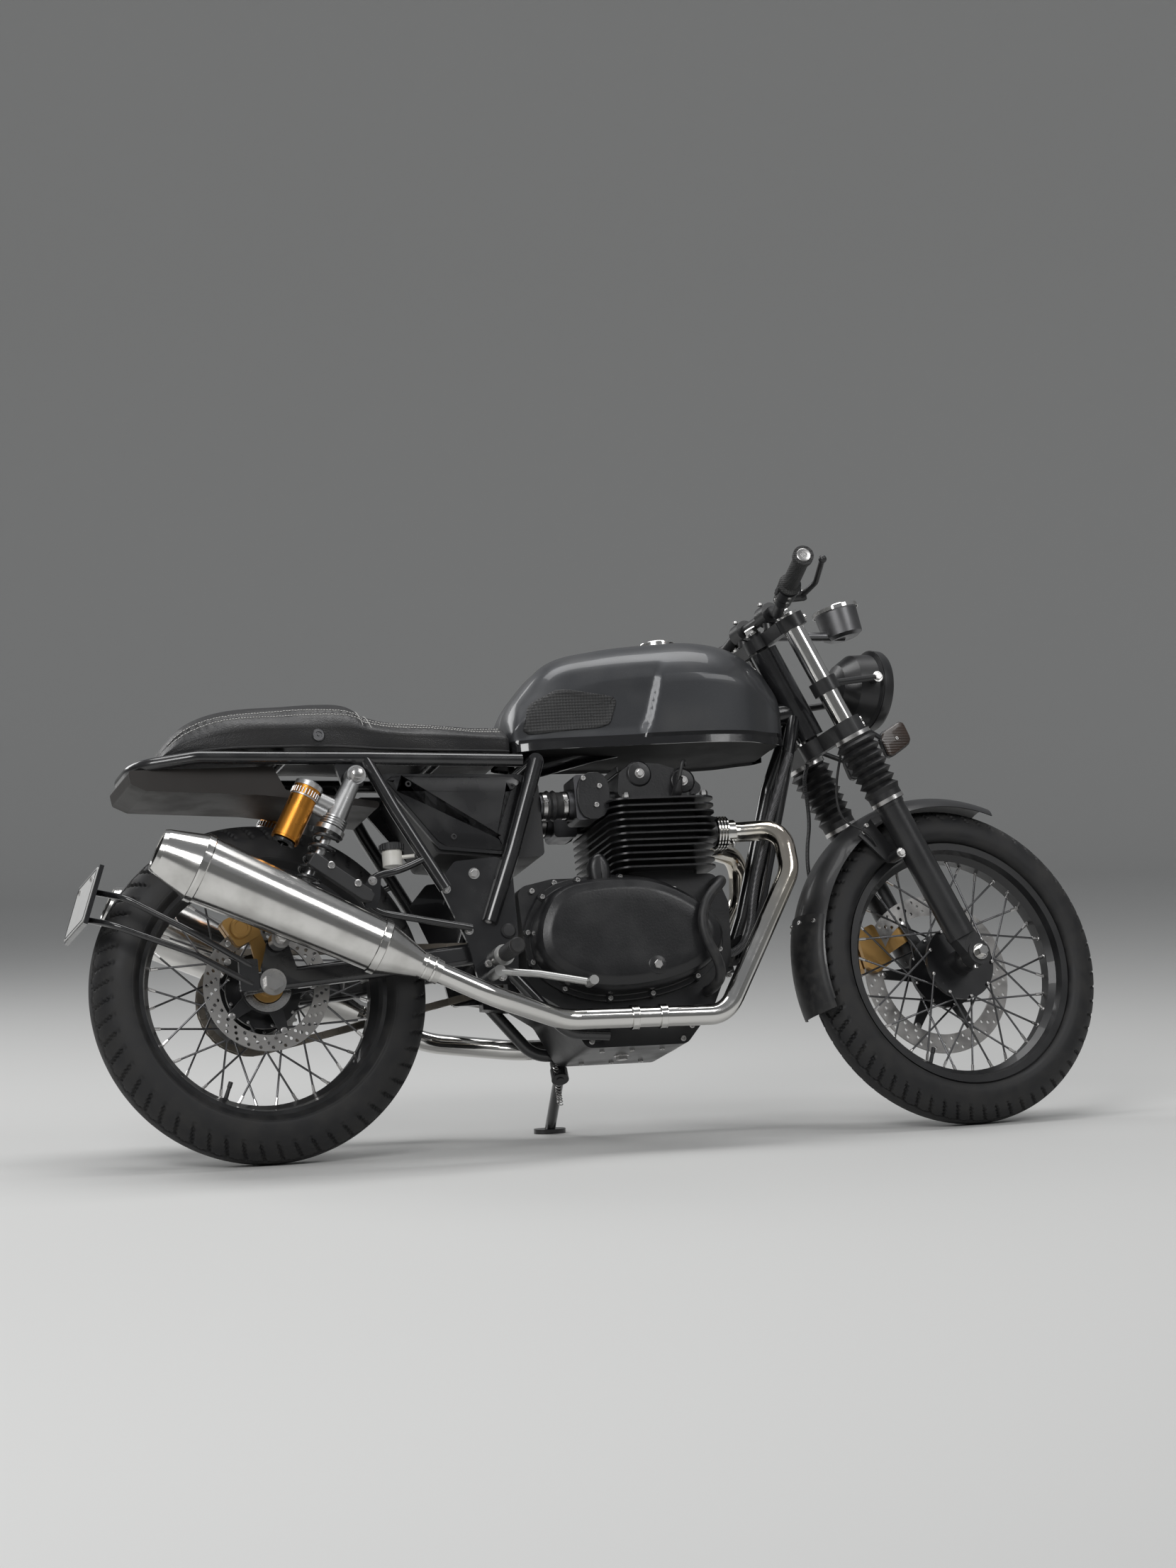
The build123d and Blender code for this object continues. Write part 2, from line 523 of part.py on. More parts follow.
with BuildPart() as cylinder_block:
    BLOCK_LOW, BLOCK_TOP, FIN_PITCH, FIN_THICKNESS = CASE_TOP + SEAT_GAP, 556, 13.5, 3.5
    with BuildSketch(Plane.XY.offset(BLOCK_LOW)):
        with Locations((785, 0)):
            RectangleRounded(150, 206, 20)
    extrude(amount=BLOCK_TOP - BLOCK_LOW)
    for number in range(4):
        with BuildSketch(Plane.XY.offset(BLOCK_LOW + 8 + number * FIN_PITCH)):
            with Locations((785, 0)):
                RectangleRounded(206, 296, 34)
        extrude(amount=FIN_THICKNESS)
PORT_FACE = 905
PORT_HEIGHT = 584
INLET_FACE = 674
with BuildPart() as cylinder_head:
    with BuildSketch(Plane.XY.offset(BLOCK_TOP + SEAT_GAP)):
        with Locations((785, 0)):
            RectangleRounded(160, 240, 20)
    extrude(amount=102)
    for number in range(7):
        with BuildSketch(Plane.XY.offset(BLOCK_TOP + SEAT_GAP + 4 + number * FIN_PITCH)):
            with Locations((788, 0)):
                RectangleRounded(214, 300, 34)
        extrude(amount=FIN_THICKNESS)
    side_plate([(705, 650), (712, 700), (740, 720), (795, 716), (850, 696), (890, 655)], -118, 118, 12)
    for side in (-1, 1):
        cross = side * 78
        straight_rod((860, cross, PORT_HEIGHT), (PORT_FACE, cross, PORT_HEIGHT), 27)
        straight_rod((710, cross, 648), (INLET_FACE, cross, 648), 24)

with BuildPart() as throttle_bodies:
    for side in (-1, 1):
        straight_rod((INLET_FACE - SEAT_GAP, side * 78, 648), (612, side * 78, 648), 30)
        side_plate([(622, 700), (622, 612), (668, 612), (668, 700)], side * 44, side * 112, 8)
        straight_rod((612, side * 78, 648), (556 + SEAT_GAP, side * 78, 648), 25)
with BuildPart() as airbox:
    side_plate([(345, 560), (500, 545), (556, 548), (556, 688), (530, 705), (300, 712), (290, 690)], -95.7, 95.7, 10)

# Exhaust: finned collars, bent pipes with welded rings, and tapered silencers
SILENCER_MOUTH = Vector(-225, SILENCER_SPREAD, 553)
SILENCER_NECK = Vector(286, SILENCER_SPREAD, 303)
neck_run = (SILENCER_NECK - SILENCER_MOUTH).normalized()
with BuildPart() as exhaust_pipes:
    for side in (-1, 1):
        route = [Vector(PORT_FACE + SEAT_GAP, 78, PORT_HEIGHT), Vector(948, 78, PORT_HEIGHT), Vector(1024, 134, 576),
                 Vector(1024, 156, 490), Vector(862, PIPE_SPREAD, 214), Vector(540, PIPE_SPREAD, 218),
                 SILENCER_NECK + neck_run * 110, SILENCER_NECK - neck_run * 30]
        bends = [55, 50, 70, 60, 110, 120]
        bent_tube([mirrored(point, side) for point in route], bends, PIPE_RADIUS)
        for number in range(4):
            collar = PORT_FACE + 2 + number * 6
            straight_rod((collar, side * 78, PORT_HEIGHT), (collar + 3, side * 78, PORT_HEIGHT), 32)
        for x in (672, 728):
            straight_rod((x, side * PIPE_SPREAD, 216), (x + 12, side * PIPE_SPREAD, 216), PIPE_RADIUS + 3)
silencer_length = (SILENCER_NECK - SILENCER_MOUTH).length
with BuildPart() as silencers:
    for side in (-1, 1):
        start = mirrored(SILENCER_MOUTH, side)
        run = mirrored(neck_run, side)
        turned_along(start, run, [
            (0, 34), (0, 40), (8, 44), (78, 64), (80, 66), (90, 66), (92, 64), (440, 50), (442, 53), (452, 53),
            (454, 50), (silencer_length - 40, 25), (silencer_length, 23),
            (silencer_length, PIPE_RADIUS + SEAT_GAP), (silencer_length - 32, PIPE_RADIUS + SEAT_GAP),
            (silencer_length - 32, 0), (120, 0), (120, 34)])

# Placing: the ground plane as it lies under the leaning machine
def tyre_bottom(place, axle, radius, width):
    """The height of a round-crowned tyre's lowest point once it is placed."""
    centre = (place * Location(axle)).position
    along = (place * Location(axle + Vector(0, 1, 0))).position - centre
    crown = width / 2
    return centre.Z - (radius - crown) * math.sqrt(1 - along.Z ** 2) - crown


fork_place = fork_plane.location
steer_place = fork_place * Location((0, 0, 0), (0, 0, PARKED_STEER)) * fork_place.inverse()
lean_place = Location((0, 0, 0), (-LEAN, 0, 0))
pitch = 0
for settle in range(4):
    pitch_place = Location((0, 0, 0), (0, pitch, 0))
    rear_low = tyre_bottom(pitch_place * lean_place, rear_axle_centre, REAR_RADIUS, REAR_WIDTH)
    front_low = tyre_bottom(pitch_place * lean_place * steer_place, front_axle_centre, FRONT_RADIUS, FRONT_WIDTH)
    pitch += math.degrees(math.atan2(front_low - rear_low, WHEELBASE))
standing = Location((0, 0, -rear_low)) * pitch_place * lean_place
ground = Plane(standing.inverse())

# Side stand: a pin on the lower frame rail carries it, and its foot lies on the ground
STAND_PIVOT = Vector(612, 130, 160)
STAND_PIN = 7
STAND_FOOT_X = 628
foot_height = (ground.origin.Z - (ground.z_dir.X * (STAND_FOOT_X - ground.origin.X)
               + ground.z_dir.Y * (STAND_REACH - ground.origin.Y)) / ground.z_dir.Z)
STAND_FOOT = Vector(STAND_FOOT_X, STAND_REACH, foot_height)
stand_down = (STAND_FOOT - STAND_PIVOT).normalized()
stand_folded = Vector(-0.985, 0.17, 0).normalized()
stand_axis = stand_down.cross(stand_folded).normalized()
STAND_FOLD = math.degrees(math.acos(stand_down.dot(stand_folded)))
# Main frame
def head_point(level, across=0):
    """A point on the steering axis, taken to one side."""
    return fork_point(level, 0, across)


SWING_PIVOT = Vector(440, 0, 370)
TANK_FLOOR = 764
TUNNEL_HALF = 32
TANK_REST = Vector(558, 0, 735)
PLATE_OUTLINE = [(336, 500), (372, 540), (455, 546), (484, 520), (484, 400), (476, 300), (400, 300), (385, 380)]
with BuildPart() as main_frame:
    straight_rod(head_point(HEAD_LOW), head_point(HEAD_TOP), HEAD_TUBE_RADIUS)
    bent_tube([head_point(HEAD_LOW + 60), Vector(1010, 0, 822), Vector(700, 0, 772), Vector(549, 0, 735)], 150, 22)
    cross_rod(549, 729, -RAIL_SPREAD, RAIL_SPREAD, FRAME_TUBE / 2)
    cross_rod(1004, 822, -TUNNEL_HALF + SEAT_GAP, TUNNEL_HALF - SEAT_GAP, 14)
    for side in (-1, 1):
        with Locations(Location(TANK_REST + Vector(0, side * 56, 0))):
            Cylinder(14, TANK_FLOOR - SEAT_GAP - TANK_REST.Z, align=(Align.CENTER, Align.CENTER, Align.MIN))
        bent_tube([mirrored(p, side) for p in (fork_point(576, -17, 12), Vector(1068, 50, 690),
                  Vector(990, 54, 440), Vector(946, 56, 335))], 60, FRAME_TUBE / 2 - 2)
        side_plate([(914, 372), (952, 388), (960, 330), (914, 326)], side * (FRONT_LUG + SEAT_GAP),
                   side * (FRONT_LUG + 9))
        bent_tube([mirrored(p, side) for p in (Vector(549, RAIL_SPREAD, 729), Vector(485, RAIL_SPREAD, 555),
                  Vector(430, 116, 420))], 200, FRAME_TUBE / 2)
        side_plate(PLATE_OUTLINE, side * PLATE_SPREAD, side * (PLATE_SPREAD + PLATE_THICKNESS), 14)
        bent_tube([mirrored(p, side) for p in (Vector(462, 119, 318), Vector(560, 124, 200), Vector(640, 124, 194))],
                  60, 12)
        cross_rod(620, 196, side * (CASE_HALF_WIDTH + SEAT_GAP), side * 124, 14)
    straight_rod(STAND_PIVOT + stand_axis * 12.5, STAND_PIVOT + stand_axis * 30, 15)
    straight_rod(STAND_PIVOT - stand_axis * 14, STAND_PIVOT + stand_axis * 14, STAND_PIN)
    straight_rod(STAND_PIVOT + stand_axis * 24, (STAND_PIVOT.X, 124, 196), 9)
    with Locations(Plane(origin=head_point(HEAD_LOW - 3), z_dir=UP_FORK)):
        Cylinder(STEM_RADIUS + RUNNING_GAP, HEAD_TOP - HEAD_LOW + 6,
                 align=(Align.CENTER, Align.CENTER, Align.MIN), mode=Mode.SUBTRACT)

#             x, cross tube height, seat floor height
SEAT_RESTS = [(60, 748, 767.5), (360, 737, 752.5)]
STAY_SPREAD = PLATE_SPREAD + PLATE_THICKNESS + SEAT_GAP + RAIL_TUBE / 2
with BuildPart() as rear_subframe:
    half = [Vector(520, RAIL_SPREAD, 730), Vector(216, RAIL_SPREAD, 743), Vector(-110, RAIL_SPREAD, 754),
            Vector(-222, 84, 746)]
    bent_tube([mirrored(p, 1) for p in half] + [mirrored(p, -1) for p in reversed(half)], 60, RAIL_TUBE / 2)
    for side in (-1, 1):
        bent_tube([mirrored(p, side) for p in (Vector(213, RAIL_SPREAD, 742), Vector(262, STAY_SPREAD - 2, 640),
                  Vector(346, STAY_SPREAD, 486))], 200, RAIL_TUBE / 2)
        side_plate([(150, 745), (222, 745), (205, 690), (165, 690)], side * 112, side * 122, 0)
        cross_rod(183, 702, side * 112, side * 170, 9)
    for x, z, floor in SEAT_RESTS:
        cross_rod(x, z, -RAIL_SPREAD, RAIL_SPREAD, 9)
        with Locations(Location((x, 70, z)), Location((x, -70, z))):
            Cylinder(12, floor - SEAT_GAP - z, align=(Align.CENTER, Align.CENTER, Align.MIN))

# Swingarm and shock absorbers
SHOCK_TOP = Vector(183, SHOCK_SPREAD, 702)
SHOCK_FOOT = Vector(13, SHOCK_SPREAD, REAR_RADIUS + 74.5)
with BuildPart() as swingarm:
    cross_rod(SWING_PIVOT.X, SWING_PIVOT.Z, -(PLATE_SPREAD - SEAT_GAP), PLATE_SPREAD - SEAT_GAP, 20)
    for side in (-1, 1):
        with BuildLine() as route:
            FilletPolyline((SWING_PIVOT.X, side * 80, SWING_PIVOT.Z), (300, side * 88, 356),
                           (190, side * SWINGARM_SPREAD, REAR_RADIUS + 20.5),
                           (-52, side * SWINGARM_SPREAD, REAR_RADIUS + 0.5), radius=60)
        with BuildSketch(Plane(origin=route.line @ 0, x_dir=(0, 1, 0), z_dir=route.line % 0)) as section:
            RectangleRounded(28, 40, 9)
        sweep(sections=section.sketch, path=route.line)
        cross_rod(0, REAR_RADIUS, side * 90, side * 135, AXLE_RADIUS + SEAT_GAP, Mode.SUBTRACT)
        side_plate(about(SHOCK_FOOT, [(-35, -56), (37, -56), (21, 0), (0, 14), (-19, 0)]), side * 117, side * 126, 8)
        cross_rod(SHOCK_FOOT.X, SHOCK_FOOT.Z, side * 117, side * 168, 7)
shock_run = (SHOCK_TOP - SHOCK_FOOT).normalized()
RESERVOIR_TOP = Vector(92, SHOCK_SPREAD, 682)
RESERVOIR_RADIUS = 26
RESERVOIR_LENGTH = 112
with BuildPart() as shock_absorbers:
    for side in (-1, 1):
        foot = mirrored(SHOCK_FOOT, side)
        run = mirrored(shock_run, side)
        length = (SHOCK_TOP - SHOCK_FOOT).length
        for point in (SHOCK_FOOT, SHOCK_TOP):
            cross_rod(point.X, point.Z, side * 135, side * 165, 18)
        turned_along(foot, run, [(14, 0), (14, 13), (30, 13), (34, 27), (42, 27), (42, 10), (226, 10), (226, 29),
                                 (236, 29), (240, 22), (length - 14, 16), (length - 14, 0)])
        offset = mirrored(RESERVOIR_TOP, side) - foot
        level = foot + run * (offset.dot(run) - 10)
        away = (offset - run * offset.dot(run)).normalized()
        straight_rod(level, level + away * ((offset - run * offset.dot(run)).length - RESERVOIR_RADIUS - 0.6), 13)
        cross_rod(SHOCK_FOOT.X, SHOCK_FOOT.Z, side * 134, side * 166, 7 + SEAT_GAP, Mode.SUBTRACT)
        cross_rod(SHOCK_TOP.X, SHOCK_TOP.Z, side * 134, side * 166, 9 + SEAT_GAP, Mode.SUBTRACT)
SPRING_LOW = 42 + SEAT_GAP
SPRING_TOP = 226 - SEAT_GAP
SPRING_COILS = 8
WIRE_RADIUS = 4
with BuildPart() as shock_springs:
    for side in (-1, 1):
        foot = mirrored(SHOCK_FOOT, side)
        run = mirrored(shock_run, side)
        coil = (SPRING_TOP - SPRING_LOW - 2 * WIRE_RADIUS) / SPRING_COILS
        with BuildLine() as turns:
            Helix(coil, coil * SPRING_COILS, 22, center=foot + run * (SPRING_LOW + WIRE_RADIUS), direction=run)
        with BuildSketch(Plane(origin=turns.line @ 0, z_dir=turns.line % 0)) as wire:
            Circle(WIRE_RADIUS)
        sweep(sections=wire.sketch, path=turns.line, is_frenet=True)
with BuildPart() as shock_reservoirs:
    for side in (-1, 1):
        top = mirrored(RESERVOIR_TOP, side)
        straight_rod(top - mirrored(shock_run, side) * RESERVOIR_LENGTH, top, RESERVOIR_RADIUS)

# Body: tank, cap, seat, tray, panels
#            x, top, half width, shoulder height and crown height as shares of the section
TANK_ROWS = [(514, 812, 84, 0.45, 0.9), (545, 872, 104, 0.5, 0.9), (610, 936, 118, 0.55, 0.9),
             (700, 958, 122, 0.6, 0.9), (800, 966, 134, 0.6, 0.9), (900, 968, 140, 0.6, 0.9),
             (980, 957, 130, 0.55, 0.86), (1030, 940, 104, 0.4, 0.74), (1056, 925, 94, 0.25, 0.5),
             (1073, 882, 64, 0.4, 0.85)]


def body_section(x, low, top, half, share, fullness=0.9):
    """A section across the machine: flat below, upright sides, and a crown of one arc."""
    shoulder = low + (top - low) * share
    plane = Plane(origin=(x, 0, 0), x_dir=(0, 1, 0), z_dir=(1, 0, 0))
    with BuildSketch(plane) as section:
        with BuildLine():
            Line((-half * 0.94, low), (half * 0.94, low))
            Line((half * 0.94, low), (half, shoulder))
            Line((-half * 0.94, low), (-half, shoulder))
            ThreePointArc((half, shoulder), (half * 0.72, low + (top - low) * fullness), (0, top))
            ThreePointArc((-half, shoulder), (-half * 0.72, low + (top - low) * fullness), (0, top))
        make_face()
    return section.sketch


CAP_CENTRE = Vector(853, 0, 973)
CAP_RADIUS = 36
CAP_HINGE = CAP_CENTRE + Vector(CAP_RADIUS + 6, 0, 5)
CAP_PIN = 2
NECK_RADIUS = 24
NECK_DEPTH = 45
with BuildPart() as fuel_tank:
    loft([body_section(x, TANK_FLOOR, *row) for x, *row in TANK_ROWS])
    side_plate([(480, 700), (1100, 700), (1100, 862), (1010, 852), (560, 800), (480, 790)],
               -TUNNEL_HALF, TUNNEL_HALF, 0, Mode.SUBTRACT)
    with Locations(Location(CAP_CENTRE)):
        Cylinder(CAP_RADIUS + 3, NECK_DEPTH + 10, align=(Align.CENTER, Align.CENTER, Align.MAX))
        Cylinder(NECK_RADIUS, NECK_DEPTH, align=(Align.CENTER, Align.CENTER, Align.MAX), mode=Mode.SUBTRACT)
    cross_rod(CAP_HINGE.X, CAP_HINGE.Z, -13, 13, CAP_PIN)
    for side in (-1, 1):
        side_plate(about(CAP_HINGE, [(-4, 3), (4, 3), (4, -24), (-4, -24)]), side * 8.5, side * 13)
with BuildPart() as filler_cap:
    with Locations(Location(CAP_CENTRE + Vector(0, 0, SEAT_GAP))):
        Cylinder(CAP_RADIUS, 10, align=(Align.CENTER, Align.CENTER, Align.MIN))
    fillet(filler_cap.edges().group_by(Axis.Z)[-1], 4)
    side_plate(about(CAP_HINGE, [(-14, -4), (0, -4), (0, 4), (-14, 4)]), -8, 8)
    cross_rod(CAP_HINGE.X, CAP_HINGE.Z, -8, 8, 4)
    cross_rod(CAP_HINGE.X, CAP_HINGE.Z, -9, 9, CAP_PIN + RUNNING_GAP, Mode.SUBTRACT)

SEAT_ROWS = [(-168, 756, 768, 70, 0.5), (-120, 768, 824, 104, 0.4), (-52, 770, 848, 122, 0.4),
             (60, 768, 856, 126, 0.4), (190, 762, 857, 124, 0.4), (250, 759, 828, 120, 0.5),
             (360, 753, 817, 116, 0.5), (508, 750, 803, 100, 0.5)]
with BuildPart() as seat:
    loft([body_section(*row) for row in SEAT_ROWS], ruled=True)
with BuildPart() as rear_mudguard:
    side_plate([(-236, 738), (-232, 712), (-204, 698), (12, 684), (62, 677), (238, 651), (242, 664), (62, 692),
                (40, 738)], -96, 96, 6)
PANEL_FACE = RAIL_SPREAD - FRAME_TUBE / 2 - 0.5
with BuildPart() as side_panels:
    for side in (-1, 1):
        side_plate([(236, 716), (530, 706), (487, 550), (348, 566)], side * (PANEL_FACE - 8.5), side * PANEL_FACE, 10)

# Rider's fittings
with BuildPart() as footrests:
    for side in (-1, 1):
        straight_rod((445, side * 113.3, 352), (445, side * 236, 352), 13)
        cross_rod(445, 352, side * 113.3, side * 140, 20)
with BuildPart() as foot_levers:
    bent_tube([Vector(427, -158, 318), Vector(500, -176, 306), Vector(590, -200, 282)], 60, 7)
    cross_rod(590, 282, -190, -226, 9)
    cross_rod(427, 318, -113.3, -166, 11)
    bent_tube([Vector(427, 158, 318), Vector(510, 178, 306), Vector(590, 196, 300)], 60, 6)
    cross_rod(590, 300, 190, 228, 9)
    cross_rod(427, 318, 113.3, 166, 11)
POT = Vector(254, -104, 536)
POT_RADIUS = 19
stay_beside_pot = Vector(309.9, -STAY_SPREAD + 0.8, 552)
with BuildPart() as brake_fluid_reservoir:
    with Locations(Location(POT)):
        Cylinder(POT_RADIUS, 30, align=(Align.CENTER, Align.CENTER, Align.MIN))
    with Locations(Location(POT + Vector(0, 0, 30))):
        Cylinder(POT_RADIUS + 2, 10, align=(Align.CENTER, Align.CENTER, Align.MIN))
    reach = stay_beside_pot - (POT + Vector(0, 0, 16))
    straight_rod(POT + Vector(0, 0, 16), POT + Vector(0, 0, 16) + reach.normalized() * (
        reach.length - RAIL_TUBE / 2 - 4.4), 4)

# Rear plate on two bent arms from the right end of the swingarm
with BuildPart() as plate_bracket:
    for low, high in (((-40, REAR_RADIUS + 30.5), (-304, 516)), ((-40, REAR_RADIUS - 3.5), (-330, 466))):
        bent_tube([(low[0], -133, low[1]), (-150, -150, (low[1] * 0.6 + high[1] * 0.4)),
                   (high[0] + 40, -120, high[1] - 24), (high[0], -60, high[1])], 40, 6)
    side_plate(about(rear_axle_centre, [(-64, 43.5), (-28, 43.5), (-28, -16.5), (-64, -16.5)]), -126.3, -138, 4)
    with BuildSketch(Plane(origin=(-322, 0, 506), x_dir=(0, 1, 0), z_dir=(-0.94, 0, 0.34))) as back:
        Rectangle(208, 116)
    extrude(back.sketch, amount=-8)
with BuildPart() as number_plate:
    with BuildSketch(Plane(origin=(-322.3, 0, 506.1), x_dir=(0, 1, 0), z_dir=(-0.94, 0, 0.34))) as face:
        RectangleRounded(200, 108, 6)
    extrude(face.sketch, amount=2)

with BuildPart() as side_stand:
    straight_rod(STAND_PIVOT + stand_down * 9, STAND_FOOT + ground.z_dir * 6, 10.5)
    straight_rod(STAND_PIVOT - stand_axis * 12, STAND_PIVOT + stand_axis * 12, 17)
    straight_rod(STAND_PIVOT - stand_axis * 22, STAND_PIVOT + stand_axis * 22, STAND_PIN + RUNNING_GAP, Mode.SUBTRACT)
    with BuildSketch(Plane(origin=STAND_FOOT, x_dir=ground.x_dir, z_dir=ground.z_dir)) as foot:
        SlotOverall(64, 40)
    extrude(foot.sketch, amount=9)

chassis = {
    "main_frame": main_frame, "rear_subframe": rear_subframe, "swingarm": swingarm, "rear_axle": rear_axle,
    "engine_crankcase": engine_crankcase, "engine_covers": engine_covers, "cylinder_block": cylinder_block,
    "cylinder_head": cylinder_head, "throttle_bodies": throttle_bodies, "airbox": airbox,
    "exhaust_pipes": exhaust_pipes, "silencers": silencers,
    "fuel_tank": fuel_tank, "seat": seat, "rear_mudguard": rear_mudguard, "side_panels": side_panels,
    "shock_absorbers": shock_absorbers, "shock_springs": shock_springs,
    "shock_reservoirs": shock_reservoirs, "footrests": footrests, "foot_levers": foot_levers,
    "plate_bracket": plate_bracket, "number_plate": number_plate,
    "rear_brake_caliper": rear_brake_caliper, "brake_fluid_reservoir": brake_fluid_reservoir,
    "drive_chain": drive_chain, "filler_cap": filler_cap, "side_stand": side_stand,
    "rear_tyre": rear_tyre, "rear_rim": rear_rim, "rear_spokes": rear_spokes, "rear_hub": rear_hub,
    "rear_disc": rear_disc, "rear_sprocket": rear_sprocket,
}
front_end = {
    "upper_yoke": upper_yoke, "lower_yoke": lower_yoke, "fork_stanchions": fork_stanchions,
    "fork_gaiters": fork_gaiters, "fork_sliders": fork_sliders, "front_axle": front_axle,
    "handlebar": handlebar, "grips": grips, "hand_controls": hand_controls, "headlamp": headlamp,
    "headlamp_lens": headlamp_lens, "gauge": gauge, "front_mudguard": front_mudguard,
    "front_brake_caliper": front_brake_caliper, "front_tyre": front_tyre, "front_rim": front_rim,
    "front_spokes": front_spokes, "front_hub": front_hub, "front_disc": front_disc,
}

placed = {name: piece.part.moved(standing) for name, piece in chassis.items()}
placed.update({name: piece.part.moved(standing * steer_place) for name, piece in front_end.items()})
box = Compound(children=list(placed.values())).bounding_box()
centring = Location((-box.center().X, -box.center().Y, 0))
chassis_place = centring * standing
front_place = centring * standing * steer_place

os.makedirs("parts", exist_ok=True)
for name, piece in {**chassis, **front_end}.items():
    piece.part.label = name
    place = front_place if name in front_end else chassis_place
    export_step(piece.part.moved(place), f"parts/{name}.step")
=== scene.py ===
import json
import math

import bmesh
import bpy
from mathutils import Matrix, Vector
from mathutils.geometry import delaunay_2d_cdt


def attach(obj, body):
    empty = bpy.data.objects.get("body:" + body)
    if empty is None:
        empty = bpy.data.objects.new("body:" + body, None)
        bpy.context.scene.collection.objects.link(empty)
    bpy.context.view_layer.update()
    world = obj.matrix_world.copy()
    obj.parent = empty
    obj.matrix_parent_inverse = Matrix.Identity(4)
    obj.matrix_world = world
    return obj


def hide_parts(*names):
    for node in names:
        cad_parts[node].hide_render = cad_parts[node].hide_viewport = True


# Where the machine stands
# It leans on its side stand with the bars turned a little. Every piece below is written upright and
# unsteered: X forward from the rear axle, Y to the left, Z up from the ground.
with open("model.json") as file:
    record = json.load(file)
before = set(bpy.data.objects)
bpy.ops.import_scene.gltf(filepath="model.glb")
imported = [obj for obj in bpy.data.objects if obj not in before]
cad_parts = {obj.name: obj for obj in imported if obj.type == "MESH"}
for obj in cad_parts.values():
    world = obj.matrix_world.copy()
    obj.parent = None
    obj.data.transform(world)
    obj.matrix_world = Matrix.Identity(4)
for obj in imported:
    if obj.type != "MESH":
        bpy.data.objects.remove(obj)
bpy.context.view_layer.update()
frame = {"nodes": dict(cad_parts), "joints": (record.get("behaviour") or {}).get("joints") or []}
nodes = frame["nodes"]
joints = {joint["name"]: joint for joint in frame["joints"]}
RAKE = math.radians(24)
FORK_OFFSET = 0.033
REAR_RADIUS = 321.5
REAR_AXLE = Vector((0, 0, REAR_RADIUS / 1000))
FRONT_AXLE = Vector((1.398, 0, 0.316))
UP_FORK = Vector((-math.sin(RAKE), 0, math.cos(RAKE)))
AHEAD = Vector((math.cos(RAKE), 0, math.sin(RAKE)))
STEERING_FOOT = FRONT_AXLE - AHEAD * FORK_OFFSET


def standing_place(axle_name, upright_axle):
    """The matrix from the upright machine to where it stands, from an axle and the steering axis."""
    left = Vector(joints[axle_name]["axis"]).normalized()
    up = Vector(joints["steering"]["axis"]).normalized()
    turn = Matrix((left.cross(up), left, up)).transposed() @ Matrix((AHEAD, Vector((0, 1, 0)), UP_FORK))
    return Matrix.Translation(Vector(joints[axle_name]["pos_m"]) - turn @ upright_axle) @ turn.to_4x4()


CHASSIS = standing_place("rear_wheel_spin", REAR_AXLE)
FORK = standing_place("front_wheel_spin", FRONT_AXLE)

# Camera, floor and studio light
# The camera stands low on the machine's right, where the photograph was taken from, with a long lens.
# The floor is a wide pale disc that curves up into a backdrop all round, under soft, even lamps.
IMAGE_HEIGHT = 2212
FOCAL_PIXELS = 6365.5
CAMERA_PLACE = Vector((-2.576, -8.3927, 0.8766))
CAMERA_YAW = math.radians(17.139)
CAMERA_DIP = math.radians(1.2466)
CAMERA_ROLL = math.radians(-1.5642)
level = Vector((math.cos(CAMERA_YAW), -math.sin(CAMERA_YAW), 0))
looking = Vector((math.sin(CAMERA_YAW) * math.cos(CAMERA_DIP), math.cos(CAMERA_YAW) * math.cos(CAMERA_DIP),
                  -math.sin(CAMERA_DIP)))
across = level * math.cos(CAMERA_ROLL) + level.cross(looking) * math.sin(CAMERA_ROLL)
facing = Matrix((across, across.cross(looking), -looking)).transposed()
camera_data = bpy.data.cameras.new("camera")
camera_data.sensor_fit = "VERTICAL"
camera_data.sensor_height = 36
camera_data.lens = FOCAL_PIXELS / IMAGE_HEIGHT * camera_data.sensor_height
camera_data.clip_end = 100
camera = bpy.data.objects.new("camera", camera_data)
camera.matrix_world = Matrix.Translation(CAMERA_PLACE) @ facing.to_4x4()
scene = bpy.context.scene
scene.collection.objects.link(camera)
scene.camera = camera
scene.view_settings.view_transform = "Standard"


class Shade:
    """A shader socket that takes part in sums, and grows further nodes in its own tree."""

    def __init__(self, tree, socket=None):
        self.tree = tree
        self.socket = socket

    def node(self, kind, settings, values, output=0):
        made = self.tree.nodes.new("ShaderNode" + kind)
        for name, value in settings.items():
            if name == "stops":
                for number, (place, colour) in enumerate(value):
                    stops = made.color_ramp.elements
                    stop = stops[number] if number < len(stops) else stops.new(place)
                    stop.position = place
                    stop.color = (*colour, 1)
            else:
                setattr(made, name, value)
        for name, value in values.items():
            if isinstance(value, Shade):
                self.tree.links.new(value.socket, made.inputs[name])
            else:
                made.inputs[name].default_value = value
        return Shade(self.tree, made.outputs[output] if made.outputs else None)

    def maths(self, operation, *terms):
        return self.node("Math", {"operation": operation}, dict(enumerate(terms)))

    def __add__(self, other):
        return self.maths("ADD", self, other)

    def __mul__(self, other):
        return self.maths("MULTIPLY", self, other)

    def __sub__(self, other):
        return self.maths("SUBTRACT", self, other)

    def __rsub__(self, other):
        return self.maths("SUBTRACT", other, self)

    __radd__ = __add__
    __rmul__ = __mul__


def new_finish(name):
    """An empty node material and its tree's first Shade."""
    material = bpy.data.materials.new(name)
    material.use_nodes = True
    material.node_tree.nodes.clear()
    return material, Shade(material.node_tree)


def surface(shade, values):
    """Ends a material in a principled surface with these socket values."""
    shade.node("OutputMaterial", {}, {"Surface": shade.node("BsdfPrincipled", {}, values)})


